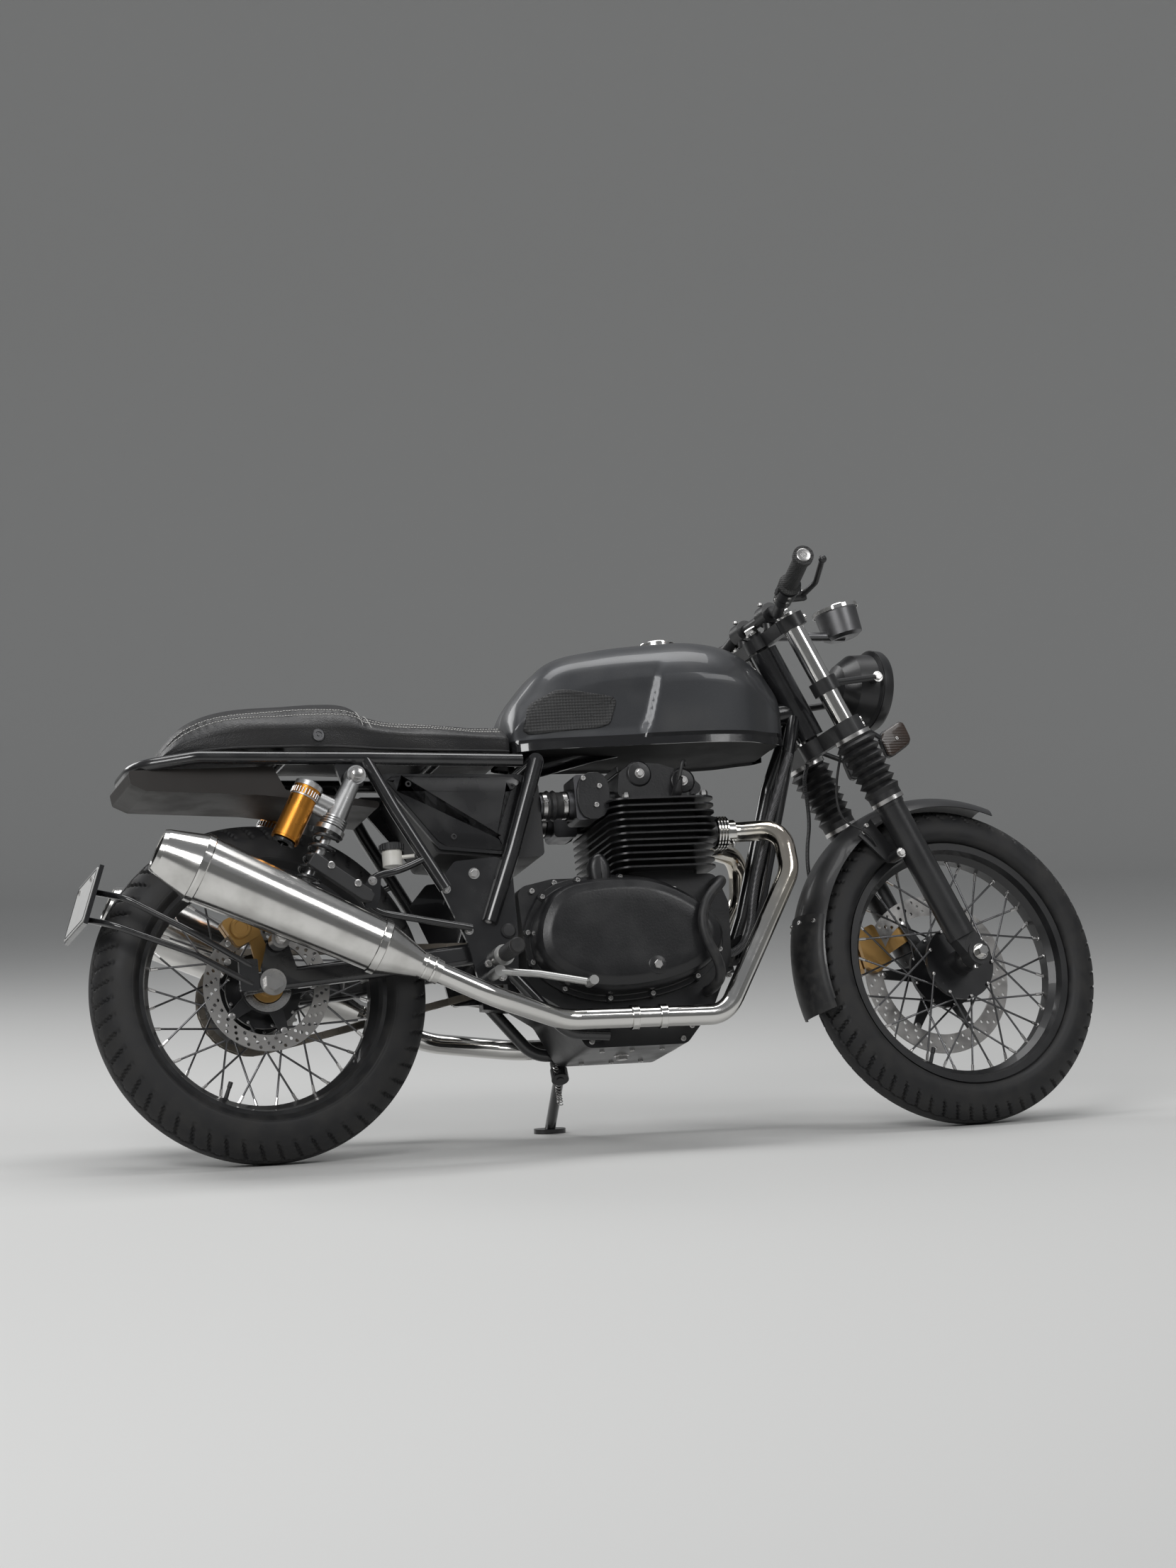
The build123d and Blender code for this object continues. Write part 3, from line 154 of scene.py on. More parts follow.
def mesh_object(name, points, faces, place=Matrix.Identity(4)):
    """A smooth mesh from points and faces, set at its place."""
    mesh = bpy.data.meshes.new(name)
    mesh.from_pydata([tuple(point) for point in points], [], faces)
    mesh.validate()
    mesh.update()
    for face in mesh.polygons:
        face.use_smooth = True
    made = bpy.data.objects.new(name, mesh)
    made.matrix_world = place
    scene.collection.objects.link(made)
    return made


FLOOR_COLOUR = (0.62, 0.62, 0.61, 1)
FLOOR_RADIUS = 14
BACKDROP_BEND = 3
BACKDROP_HEIGHT = 6
BEND_STEPS = 12
ROUND = 64
flat = FLOOR_RADIUS - BACKDROP_BEND
profile = [(flat * share, 0) for share in (0.25, 0.5, 0.75, 1)]
for step in range(1, BEND_STEPS + 1):
    angle = math.radians(90 * step / BEND_STEPS)
    profile.append((flat + BACKDROP_BEND * math.sin(angle), BACKDROP_BEND * (1 - math.cos(angle))))
profile.append((FLOOR_RADIUS, BACKDROP_HEIGHT))
floor_points = [(reach * math.cos(math.tau * n / ROUND), reach * math.sin(math.tau * n / ROUND), z)
                for reach, z in profile for n in range(ROUND)]
floor_faces = [tuple(range(ROUND))]
floor_faces += [(row * ROUND + n, (row + 1) * ROUND + n, (row + 1) * ROUND + (n + 1) % ROUND,
                 row * ROUND + (n + 1) % ROUND) for row in range(len(profile) - 1) for n in range(ROUND)]
floor = mesh_object("floor", floor_points, floor_faces)
floor_finish, shade = new_finish("studio_floor")
surface(shade, {"Base Color": FLOOR_COLOUR, "Roughness": 0.6})
floor.data.materials.append(floor_finish)

# lamp name: place, aim, size, power in watts
LAMPS = {
    "key_lamp": ((-3.5, -4.5, 4.0), (0.1, 0, 0.4), (3.0, 2.0), 165),
    "fill_lamp": ((3.4, -4.6, 5.0), (0.2, 0, 0.5), (2.5, 2.5), 90),
    "top_lamp": ((0, 0.5, 4.5), (0, 0, 0.4), (4.0, 2.0), 110),
    "rear_lamp": ((-3.0, 4.0, 3.0), (0, 0, 0.5), (2.5, 2.5), 80),
}
for name, (place, aim, (width, height), power) in LAMPS.items():
    lamp_data = bpy.data.lights.new(name, "AREA")
    lamp_data.shape = "RECTANGLE"
    lamp_data.size = width
    lamp_data.size_y = height
    lamp_data.energy = power
    lamp = bpy.data.objects.new(name, lamp_data)
    lamp.location = place
    lamp.rotation_euler = (Vector(aim) - Vector(place)).to_track_quat("-Z", "Y").to_euler()
    scene.collection.objects.link(lamp)
world = bpy.data.worlds.new("studio")
world.use_nodes = True
sky = world.node_tree.nodes["Background"].inputs
sky["Color"].default_value = (0.9, 0.92, 0.95, 1)
sky["Strength"].default_value = 0.24
scene.world = world

# Main frame, subframe, swingarm and side stand
# Welded round steel tube, sprayed gloss black, with plastic caps on the pivot ends. Bright bolts hold the
# footrest plates, and a bent loop on each side carries a folded pillion peg and a silencer hanger.
PLACES = {"chassis": CHASSIS, "rear_wheel": CHASSIS, "filler_cap": CHASSIS, "front_assembly": FORK,
          "front_wheel": FORK}


def coat_nodes(finish, *names):
    """Gives CAD pieces a finish, in every slot."""
    for name in names:
        nodes[name].data.materials.clear()
        nodes[name].data.materials.append(finish)


def slotted(name, slot):
    """An empty finish for a slot, and its tree's first Shade."""
    finish, shade = new_finish(name)
    finish["slot"] = slot
    return finish, shade


def own_place(shade):
    """The piece's own coordinates."""
    return shade.node("TexCoord", {}, {}, 3)


def speckle(shade, scale, detail=4.0):
    """Noise in the piece's own coordinates, about 0.3 to 0.7."""
    return shade.node("TexNoise", {}, {"Vector": own_place(shade), "Scale": scale, "Detail": detail})


def between(shade, low, high, value):
    """A value stretched so that low becomes 0 and high becomes 1."""
    return shade.node("MapRange", {"clamp": True}, {"Value": value, "From Min": low, "From Max": high})


def patches(shade, low, high, scale, detail):
    """Noise stretched into patches."""
    return between(shade, low, high, speckle(shade, scale, detail))


def tinted(shade, first, second, share):
    """One colour fading into another."""
    colours = [colour if isinstance(colour, Shade) else (*colour, 1) for colour in (first, second)]
    return shade.node("Mix", {"data_type": "RGBA"}, {0: share, 6: colours[0], 7: colours[1]}, 2)


def relief(shade, height, strength, distance):
    """Small bumps from a height, a distance in metres deep."""
    return shade.node("Bump", {}, {"Height": height, "Strength": strength, "Distance": distance})


def grained(shade, scale, detail, strength, distance):
    """Small bumps from noise."""
    return relief(shade, speckle(shade, scale, detail), strength, distance)


def worn(name, slot, first, second, marks, rougher, roughness, bumps, values):
    """A finish that turns to a second colour and a rougher shine in patches, with a fine grain in relief.

    Marks are the patches' low, high, scale and detail. Bumps are the grain's scale, detail, strength
    and depth.
    """
    finish, shade = slotted(name, slot)
    share = patches(shade, *marks)
    surface(shade, {"Base Color": tinted(shade, first, second, share),
                    "Roughness": share * rougher + roughness, "Normal": grained(shade, *bumps), **values})
    return finish


def sprayed(name, slot, colour, roughness, coat=0.0, ripple=0.12, metallic=0.0):
    """Sprayed paint: dust dulls it in patches, and its coat has a faint ripple."""
    dusty = tuple(part * 0.85 + 0.008 for part in colour)
    return worn(name, slot, colour, dusty, (0.45, 0.75, 14, 6.0), 0.16, roughness, (260, 2.0, ripple, 0.0004),
                {"Coat Weight": coat, "Metallic": metallic})


def metal(name, slot, colour, roughness, grain=500, scratches=0.1):
    """Bare or plated metal: fine scratches and handling marks break up its shine."""
    darker = tuple(part * 0.72 for part in colour)
    return worn(name, slot, colour, darker, (0.4, 0.8, 24, 8.0), 0.2, roughness,
                (grain, 3.0, scratches, 0.0003), {"Metallic": 1.0})


def woven(rings, closed=False, caps=False):
    """A skin over rings of equally many points, closed on to its first ring or capped at both ends."""
    count = len(rings[0])
    points = [point for ring in rings for point in ring]
    faces = []
    for row in range(len(rings) if closed else len(rings) - 1):
        here, there = row * count, (row + 1) % len(rings) * count
        for n in range(count):
            after = (n + 1) % count
            faces.append((here + n, here + after, there + after, there + n))
    if caps:
        faces += [tuple(range(count)), tuple(range(len(points) - count, len(points)))]
    return points, faces


def turned(profile, centre, axis, count=32):
    """A body turned about an axis through a point, from (along, radius) pairs."""
    axis = Vector(axis).normalized()
    side = axis.orthogonal().normalized()
    up = axis.cross(side)
    angles = [math.tau * step / count for step in range(count)]
    spokes = [side * math.cos(angle) + up * math.sin(angle) for angle in angles]
    return woven([[Vector(centre) + axis * along + spoke * radius for spoke in spokes]
                  for along, radius in profile])


def plug(near, far, radius, bevel=0.0):
    """A solid round profile for turned, with its far edge cut back."""
    return [(near, 0), (near, radius), (far - bevel, radius), (far, radius - bevel), (far, 0)]


def hoop(near, far, inner, outer):
    """A ring's profile for turned."""
    return [(near, inner), (near, outer), (far, outer), (far, inner), (near, inner)]


def swept(path, radius, count=10, closed=False):
    """A round bar along points."""
    path = [Vector(point) for point in path]
    rings = []
    side = (path[1] - path[0]).orthogonal().normalized()
    last = len(path) - 1
    for number, point in enumerate(path):
        before = path[number - 1] if number or closed else point
        after = path[(number + 1) % len(path)] if number < last or closed else point
        run = (after - before).normalized()
        side = (side - run * side.dot(run)).normalized()
        up = run.cross(side)
        angles = [math.tau * step / count for step in range(count)]
        rings.append([point + (side * math.cos(angle) + up * math.sin(angle)) * radius for angle in angles])
    return woven(rings, closed, not closed)


def slab(outline, near, far):
    """A plate with a side outline of (x, z) pairs, between two distances across."""
    return woven([[(x, y, z) for x, z in outline] for y in (near, far)], caps=True)


def joined(*shapes):
    """Several shapes as one."""
    points, faces = [], []
    for more, sides in shapes:
        faces += [tuple(corner + len(points) for corner in side) for side in sides]
        points += list(more)
    return points, faces


def bolt(at, axis, radius=6.0, height=5.0):
    """A hexagon head on its washer."""
    head = [(1, 0), (1, radius), (height - 0.8, radius), (height, radius * 0.85), (height, 0)]
    return joined(turned(plug(-1, 1.2, radius * 1.35), at, axis, 20), turned(head, at, axis, 6))


def cap_screw(at, axis, radius=5.0, height=5.0):
    """A round head with a hexagon socket."""
    hole = radius * 0.5
    head = [(-1, 0), (-1, radius), (height - 0.8, radius), (height, radius * 0.85), (height, hole)]
    socket = [(height, hole), (height - 2.5, hole), (height - 2.5, 0)]
    return joined(turned(head, at, axis, 20), turned(socket, at, axis, 6))


def side_heads(head, side, across, spots, radius, height):
    """Bolts or screws on a face that looks to the side, at (x, z) spots."""
    return [head((x, side * across, z), (0, side, 0), radius, height) for x, z in spots]


def bent(points, turns=3):
    """A path with its corners cut round."""
    points = [Vector(point) for point in points]
    for turn in range(turns):
        cut = [points[0]]
        for first, second in zip(points, points[1:]):
            cut += [first.lerp(second, 0.25), first.lerp(second, 0.75)]
        points = cut + [points[-1]]
    return points


def fitted(name, shapes, finish, body="chassis", sharp=35, soften=0.0, upright=False):
    """A piece from shapes in millimetres, in its finish, riding on its body.

    Soften bevels its edges. An upright piece keeps its own coordinates, for a finish that follows them.
    """
    points, faces = joined(*shapes)
    points = [Vector(point) / 1000 for point in points]
    if upright:
        made = mesh_object(name, points, faces, PLACES[body])
    else:
        made = mesh_object(name, [PLACES[body] @ point for point in points], faces)
    shell = bmesh.new()
    shell.from_mesh(made.data)
    bmesh.ops.remove_doubles(shell, verts=shell.verts, dist=1e-6)
    bmesh.ops.dissolve_degenerate(shell, edges=shell.edges, dist=1e-7)
    bmesh.ops.recalc_face_normals(shell, faces=shell.faces)
    shell.to_mesh(made.data)
    shell.free()
    for face in made.data.polygons:
        face.use_smooth = True
    made.data.set_sharp_from_angle(angle=math.radians(sharp))
    made.data.materials.append(finish)
    if soften:
        bevel = made.modifiers.new("soften", "BEVEL")
        bevel.width = soften / 1000
        bevel.segments = 2
        bevel.limit_method = "ANGLE"
    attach(made, body)
    return made


PLATE_FACE = 113
PIVOT_CAP = [(0, 0), (0, 14), (4, 14), (7, 11), (8, 0)]
frame_paint = sprayed("frame_paint", "frame_black", (0.011, 0.011, 0.012), 0.2, 0.6)
bright_steel = metal("bright_steel", "steel", (0.62, 0.61, 0.6), 0.22)
dull_plastic = sprayed("dull_plastic", "black_plastic", (0.02, 0.02, 0.021), 0.5, 0, 0.3)
coat_nodes(frame_paint, "main_frame", "rear_subframe", "swingarm", "plate_bracket", "side_stand")
plate_bolts, pivot_caps, loops, pillion_pegs = [], [], [], []
HANGER = [(216, 506), (196, 512), (172, 474), (180, 452), (202, 446), (212, 470)]
PEG = [(182, 478), (84, 551), (68, 529), (166, 456), (184, 452), (192, 466)]
LOOP = [(313, 126, 546), (255, 140, 520), (206, 142, 512), (188, 142, 487), (189, 142, 459),
        (211, 142, 441), (262, 138, 432), (392, 120, 410)]
for side in (-1, 1):
    outward = (0, side, 0)
    for x, z, radius in ((408, 515, 8), (351, 487, 6.5), (388, 406, 6.5), (429, 426, 6.5), (420, 341, 5.5)):
        plate_bolts.append(bolt((x, side * PLATE_FACE, z), outward, radius, 6))
    for x, z in ((462, 506), (465, 402)):
        pivot_caps.append(turned(PIVOT_CAP, (x, side * PLATE_FACE, z), outward))
    loops.append(swept(bent([(x, side * y, z) for x, y, z in LOOP]), 7, 16))
    loops.append(swept([(183, side * 146, 467), (183, side * 190, 467)], 8, 16))
    loops.append(slab(HANGER, side * 149, side * 154))
    pillion_pegs.append(slab(PEG, side * 179, side * 196))
    plate_bolts += side_heads(cap_screw, side, 196, ((112, 524), (160, 488)), 7, 3)
fitted("plate_bolts", plate_bolts, bright_steel)
fitted("pivot_caps", pivot_caps, dull_plastic)
fitted("rear_loops", loops, frame_paint)
fitted("pillion_pegs", pillion_pegs, dull_plastic, soften=2)

# Tyres
# Black road tyres on wire wheels, moulded with a centre rib between zigzag grooves and slanted side
# grooves. They're bare of lettering, with fine raised rings on the sidewalls.
TYRE_STEPS = 560
CROWN_STEPS = 84
WALL_STEPS = 9
GROOVE_DEPTH = 4.5
GROOVE_LEAN = 16
SLANTS_FROM = 20
SLANTS_TO = 62
RIM_FLANGE = 242.5


def groove(lean, turn, blocks):
    """How deep the tread is cut, 0 to 1, at degrees from the crown's top and a share of a turn."""
    phase = (turn * blocks) % 1
    zigzag = abs(phase - 0.5) * 8 - 2
    for middle in (-GROOVE_LEAN, GROOVE_LEAN):
        if abs(lean - middle - zigzag) < 1.9:
            return 1
    if SLANTS_FROM < abs(lean) < SLANTS_TO:
        slant = (phase + (abs(lean) - SLANTS_FROM) * 0.012 + (0.5 if lean > 0 else 0)) % 1
        if abs(slant - 0.5) < 0.09:
            return 1 if abs(lean) < 54 else 0.5
    return 0


def tyre_shape(axle, radius, width, rim_half, blocks):
    """A carcass with its tread cut in, open to the rim."""
    crown = width / 2
    centre = radius - crown
    bead = rim_half - 4.3
    foot = RIM_FLANGE + 3
    wall = ((crown - bead) ** 2 + (centre - foot) ** 2) / (2 * (crown - bead))
    end = math.asin((centre - foot) / wall)
    rows = [(-bead, RIM_FLANGE - 9, None)]
    for step in range(WALL_STEPS):
        angle = end * (1 - step / WALL_STEPS)
        reach = wall + (0.7 if step in (3, 5) else 0)
        rows.append((wall - crown - reach * math.cos(angle), centre - wall * math.sin(angle), None))
    for step in range(CROWN_STEPS + 1):
        lean = -90 + 180 * step / CROWN_STEPS
        angle = math.radians(lean)
        rows.append((crown * math.sin(angle), centre + crown * math.cos(angle), lean))
    rows += [(-y, r, None) for y, r, lean in reversed(rows[:WALL_STEPS + 1])]
    points, faces = [], []
    for step in range(TYRE_STEPS):
        angle = math.tau * step / TYRE_STEPS
        for across, reach, lean in rows:
            if lean is not None:
                cut = GROOVE_DEPTH * groove(lean, step / TYRE_STEPS, blocks)
                across -= cut * math.sin(math.radians(lean))
                reach -= cut * math.cos(math.radians(lean))
            points.append(wheel_point(axle, across, reach, angle))
    for step in range(TYRE_STEPS):
        here, there = step * len(rows), (step + 1) % TYRE_STEPS * len(rows)
        faces += [(here + n, here + n + 1, there + n + 1, there + n) for n in range(len(rows) - 1)]
    return points, faces


def wheel_point(axle, across, radius, angle):
    """A point beside a wheel, in millimetres, by its distance across, radius and angle."""
    return axle * 1000 + Vector((radius * math.cos(angle), across, radius * math.sin(angle)))


tyre_rubber = worn("tyre_rubber", "tyre_rubber", (0.009, 0.009, 0.01), (0.026, 0.025, 0.024),
                   (0.4, 0.75, 30, 8.0), 0.2, 0.58, (900, 3.0, 0.35, 0.0004), {})
for name, *sizes in (("rear", REAR_AXLE, REAR_RADIUS, 130, 48, 56), ("front", FRONT_AXLE, 316, 104, 38, 64)):
    tyre = fitted(name + "_tread", [tyre_shape(*sizes)], tyre_rubber, name + "_wheel", 50)
    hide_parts(name + "_tyre")

# Rims, spokes and hubs
# Black rims are laced to black hubs with bright spokes. A steel nipple holds each spoke in the rim's
# well, and a rubber valve stands between two of them.
NIPPLE = [(-3, 3.9), (1, 3.9), (2, 3.0), (15, 3.0), (16, 0)]
SPOKE_HEAD = [(-2, 0), (-2, 3.4), (1, 3.4), (2.5, 2), (2.5, 0)]
wheel_paint = sprayed("wheel_paint", "wheel_black", (0.009, 0.009, 0.01), 0.32, 0.25)
spoke_steel = metal("spoke_steel", "wheel_black", (0.16, 0.16, 0.165), 0.26)
coat_nodes(wheel_paint, "rear_rim", "front_rim", "rear_hub", "front_hub")
coat_nodes(spoke_steel, "rear_spokes", "front_spokes")
for name, axle, spread, flange in (("rear", REAR_AXLE, 36, 72), ("front", FRONT_AXLE, 33, 74)):
    nipples, heads = [], []
    for side in (-1, 1):
        for family, sweep, stand_off in ((0, 45, 8.2), (20, -45, -6.3)):
            for number in range(9):
                at_hub = math.radians(number * 40 + family + 10 * (side + 1))
                start = wheel_point(axle, side * (spread + stand_off), flange - 4, at_hub)
                end = wheel_point(axle, side * 7, 212, at_hub + math.radians(sweep))
                outward = side if stand_off > 0 else -side
                nipples.append(turned(NIPPLE, end, start - end, 8))
                heads.append(turned(SPOKE_HEAD, start, (0, outward, 0), 10))
    fitted(name + "_nipples", nipples, bright_steel, name + "_wheel")
    fitted(name + "_spoke_heads", heads, bright_steel, name + "_wheel")
    foot = wheel_point(axle, 0, 214, math.radians(-112))
    valve = turned([(-2, 9), (3, 8), (6, 4.2), (26, 3.6), (27, 4.4), (38, 4.4), (39, 0)],
                   foot, axle * 1000 - foot, 16)
    fitted(name + "_valve", [valve], dull_plastic, name + "_wheel")
PIPS = 40
sensor_parts = [turned(hoop(0, 2.2, 32, 47), (0, -74.2, REAR_RADIUS), (0, -1, 0), 64)]
for number in range(PIPS):
    for reach in (44, 39):
        pip = wheel_point(REAR_AXLE, -76, reach, math.tau * number / PIPS)
        sensor_parts.append(turned([(0, 1.6), (1.6, 1.6), (1.6, 0)], pip, (0, -1, 0), 6))
fitted("sensor_ring", sensor_parts, bright_steel, "rear_wheel")

# Brake discs
# Flat steel rings drilled with rows of holes, riveted to a black carrier on the hub.
DISC_HALF = 2.5
HOLES_ROUND = 30
HOLE_ROWS = 3
HOLE_RADIUS = 3.6


def on_circle(centre, radius, angle):
    """A point on a circle, by x and z."""
    return centre + radius * Vector((math.cos(angle), math.sin(angle)))


def circle(centre, radius, count):
    """A closed ring of points."""
    return [on_circle(centre, radius, math.tau * n / count) for n in range(count)]


def encloses(loop, spot):
    """Whether a closed (x, z) outline goes round a spot."""
    inside = False
    for (x, z), (next_x, next_z) in zip(loop, loop[1:] + loop[:1]):
        if (z > spot.y) != (next_z > spot.y) and spot.x < x + (next_x - x) * (spot.y - z) / (next_z - z):
            inside = not inside
    return inside


def pierced(loops, near, far):
    """A plate whose first loop is its outline and whose other loops are holes through it."""
    flat, edges = [], []
    for loop in loops:
        edges += [(len(flat) + n, len(flat) + (n + 1) % len(loop)) for n in range(len(loop))]
        flat += loop
    corners, sides, triangles = delaunay_2d_cdt(flat, edges, [], 0, 1e-6)[:3]
    faces = []
    for triangle in triangles:
        middle = sum((corners[corner] for corner in triangle), Vector((0, 0))) / 3
        if sum(encloses(loop, middle) for loop in loops) == 1:
            faces.append(triangle)
    count = len(corners)
    points = [(corner.x, y, corner.y) for y in (near, far) for corner in corners]
    shells = [tuple(face) for face in faces] + [tuple(corner + count for corner in face) for face in faces]
    used = {}
    for face in faces:
        for first, second in zip(face, list(face[1:]) + [face[0]]):
            used[frozenset((first, second))] = used.get(frozenset((first, second)), 0) + 1
    rims = [tuple(edge) for edge, times in used.items() if times == 1]
    return points, shells + [(a, b, b + count, a + count) for a, b in rims]


disc_steel = metal("disc_steel", "steel", (0.4, 0.39, 0.38), 0.4, 900, 0.25)
carrier_black = sprayed("carrier_black", "wheel_black", (0.012, 0.012, 0.013), 0.35)
for name, axle, across, outer, inner, arms in (
        ("rear", REAR_AXLE, -70.8, 120, 90, 5), ("front", FRONT_AXLE, 60.3, 160, 122, 6)):
    middle = Vector((axle.x * 1000, axle.z * 1000))
    near, far = across - DISC_HALF, across + DISC_HALF
    holes = [circle(middle, outer, 120), circle(middle, inner, 120)]
    for number in range(HOLES_ROUND):
        for row in range(HOLE_ROWS):
            angle = math.tau * (number + row * 0.33) / HOLES_ROUND
            reach = inner + (outer - inner) * (0.22 + 0.28 * row)
            holes.append(circle(on_circle(middle, reach, angle), HOLE_RADIUS, 10))
    ring = fitted(name + "_braking_ring", [pierced(holes, near, far)], disc_steel, name + "_wheel")
    carrier_parts = [pierced([circle(middle, 50, 72), circle(middle, 27, 48)], near, far)]
    rivets = []
    for number in range(arms):
        angle = math.tau * number / arms
        out = Vector((math.cos(angle), math.sin(angle)))
        over = Vector((-out.y, out.x))
        arm = ((46, 15), (inner - 6, 9), (inner + 5, 9), (inner + 5, -9), (inner - 6, -9), (46, -15))
        corners = [tuple(middle + out * reach + over * half) for reach, half in arm]
        carrier_parts.append(slab(corners, across - 1.8, across + 1.8))
        for side in (-1, 1):
            spot = middle + out * (inner - 3)
            rivets.append(turned([(0, 6.5), (2.7, 6.5), (2.9, 6), (2.9, 0)], (spot.x, across, spot.y),
                                 (0, side, 0), 20))
            spot = middle + out * 38
            rivets.append(cap_screw((spot.x, across + side * DISC_HALF, spot.y), (0, side, 0), 5, 2.4))
    fitted(name + "_carrier", carrier_parts, carrier_black, name + "_wheel", soften=0.6)
    fitted(name + "_disc_rivets", rivets, bright_steel, name + "_wheel")
    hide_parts(name + "_disc")

# Sprocket and chain
# The rear sprocket is plain steel. The chain is pairs of waisted plates on pins, oiled and grimy.
CHAIN_PITCH = 15.875
CHAIN_LINE = 83.5
CHAIN_STEPS = 2000
REAR_TEETH = 38
FRONT_PITCH_RADIUS = 38.5
chain_steel = metal("chain_steel", "chain_steel", (0.3, 0.27, 0.23), 0.34, 700, 0.3)
coat_nodes(bright_steel, "rear_sprocket", "rear_axle", "front_axle")
rear_pitch = CHAIN_PITCH / 2 / math.sin(math.pi / REAR_TEETH)
rear_centre = Vector((0, REAR_RADIUS))
front_centre = Vector((520, 372))
run = front_centre - rear_centre
tangent = math.acos((rear_pitch - FRONT_PITCH_RADIUS) / run.length)
slope = math.atan2(run.y, run.x)
straight = run.length * math.sin(tangent)
rear_wrap = rear_pitch * (math.tau - 2 * tangent)
front_wrap = FRONT_PITCH_RADIUS * 2 * tangent
total = rear_wrap + front_wrap + 2 * straight


def chain_point(travelled):
    """A point of the chain's loop, by the way along it from the top of the rear sprocket."""
    low, high = slope - tangent, slope + tangent
    if travelled < rear_wrap:
        return on_circle(rear_centre, rear_pitch, high + travelled / rear_pitch)
    travelled -= rear_wrap
    if travelled < straight:
        end = on_circle(front_centre, FRONT_PITCH_RADIUS, low)
        return on_circle(rear_centre, rear_pitch, low).lerp(end, travelled / straight)
    travelled -= straight
    if travelled < front_wrap:
        return on_circle(front_centre, FRONT_PITCH_RADIUS, low + travelled / FRONT_PITCH_RADIUS)
    end = on_circle(rear_centre, rear_pitch, high)
    return on_circle(front_centre, FRONT_PITCH_RADIUS, high).lerp(end, (travelled - front_wrap) / straight)


links = round(total / CHAIN_PITCH / 2) * 2
pins = [chain_point(round(number * CHAIN_STEPS / links) % CHAIN_STEPS / CHAIN_STEPS * total)
        for number in range(links)]
chain_parts = []
for number, pin in enumerate(pins):
    onward = pins[(number + 1) % links]
    along = (onward - pin).normalized()
    over = Vector((-along.y, along.x))
    outline = []
    for end, forth in ((pin, -6.6), (onward, 6.6)):
        for angle in [math.radians(-75 + 25 * step) for step in range(7)]:
            outline.append(tuple(end + (along * math.cos(angle) + over * math.sin(angle)) * forth))
    for side in (-1, 1):
        near = CHAIN_LINE + side * (4.6 if number % 2 else 6.6)
        chain_parts.append(slab(outline, near, near + side * 1.6))
    for half, radius, count in ((8.8, 2.4, 8), (4.4, 4.8, 10)):
        chain_parts.append(turned(plug(-half, half, radius), (pin.x, CHAIN_LINE, pin.y), (0, 1, 0), count))
chain = fitted("chain_links", chain_parts, chain_steel)
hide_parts("drive_chain")

# Engine cases
# Cast alloy painted satin black. A domed cover bolts on to each side, its flange ringed with bright
# screws. The right one has a hexagon filler plug and the clutch arm's bulge.
cast_black = sprayed("cast_black", "engine_black", (0.01, 0.01, 0.011), 0.3, 0, 0.4)
coat_nodes(cast_black, "engine_crankcase", "cylinder_block", "cylinder_head")


def eased(outline, turns=3, share=0.25):
    """A closed outline with its corners cut round, by a share of its edges at each turn."""
    for turn in range(turns):
        cut = []
        for (x, z), (next_x, next_z) in zip(outline, outline[1:] + outline[:1]):
            cut += [(x + (next_x - x) * share, z + (next_z - z) * share),
                    (next_x + (x - next_x) * share, next_z + (z - next_z) * share)]
        outline = cut
    return outline


def inset(outline, amount):
    """A closed outline moved inward, whichever way round it runs."""
    onward = outline[1:] + outline[:1]
    area = sum(x * next_z - next_x * z for (x, z), (next_x, next_z) in zip(outline, onward))
    amount = math.copysign(amount, area)
    moved = []
    for (x, z), (last_x, last_z), (next_x, next_z) in zip(outline, outline[-1:] + outline[:-1], onward):
        along = Vector((next_x - last_x, next_z - last_z)).normalized()
        moved.append((x - along.y * amount, z + along.x * amount))
    return moved


def stacked(outline, side, levels):
    """A lid on one side, built up from one outline at several (inset, distance across) levels."""
    return woven([[(x, side * across, z) for x, z in inset(outline, amount)] for amount, across in levels],
                 caps=True)


COVER_OUTLINE = eased([(490, 402), (540, 487), (640, 505), (765, 500), (885, 424), (893, 340), (822, 282),
                       (700, 256), (590, 262), (500, 320)])
COVER_SCREWS = 12
COVER_LEVELS = [(0, 105.5), (0, 113), (1.5, 114.5), (10, 114.5), (11.5, 116), (12.5, 146), (15, 158),
                (22, 166.5), (33, 170.5), (36, 172), (41, 172.8), (60, 172.8)]
cover_parts, cover_screws = [], []
bosses = inset(COVER_OUTLINE, 5.5)
for side in (-1, 1):
    cover_parts.append(stacked(COVER_OUTLINE, side, COVER_LEVELS))
    spots = [bosses[round(number * len(bosses) / COVER_SCREWS + 3) % len(bosses)]
             for number in range(COVER_SCREWS)]
    for x, z in spots:
        cover_parts.append(turned([(-2, 0), (-2, 8.5), (3, 8), (3, 0)], (x, side * 113, z), (0, side, 0), 20))
    cover_screws += side_heads(cap_screw, side, 116, spots, 5, 4.5)
cover_parts.append(turned([(-6, 0), (-6, 19), (2, 18), (3, 16), (3, 0)], (735, -171, 315), (0, -1, 0)))
cover_screws.append(turned(plug(0, 6.5, 9, 1.5), (735, -173.5, 315), (0, -1, 0), 6))
covers = fitted("side_covers", cover_parts, cast_black, sharp=28)
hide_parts("engine_covers")
fitted("cover_screws", cover_screws, bright_steel)
arm_outline = eased([(640, 540), (662, 545), (678, 512), (664, 452), (642, 452), (630, 512)])
arm_bulge = stacked(arm_outline, -1, [(0, 105), (0, 124), (2, 128), (6, 131), (12, 132)])
fitted("clutch_arm_bulge", [arm_bulge], cast_black, sharp=30)
CASE_SPOTS = ((520, 478), (566, 492), (812, 206), (792, 182), (610, 184), (575, 238), (896, 300), (884, 470))
SUMP_FACE = 172
case_screws = [bolt((700, 0, SUMP_FACE), (0, 0, -1), 11, 9)]
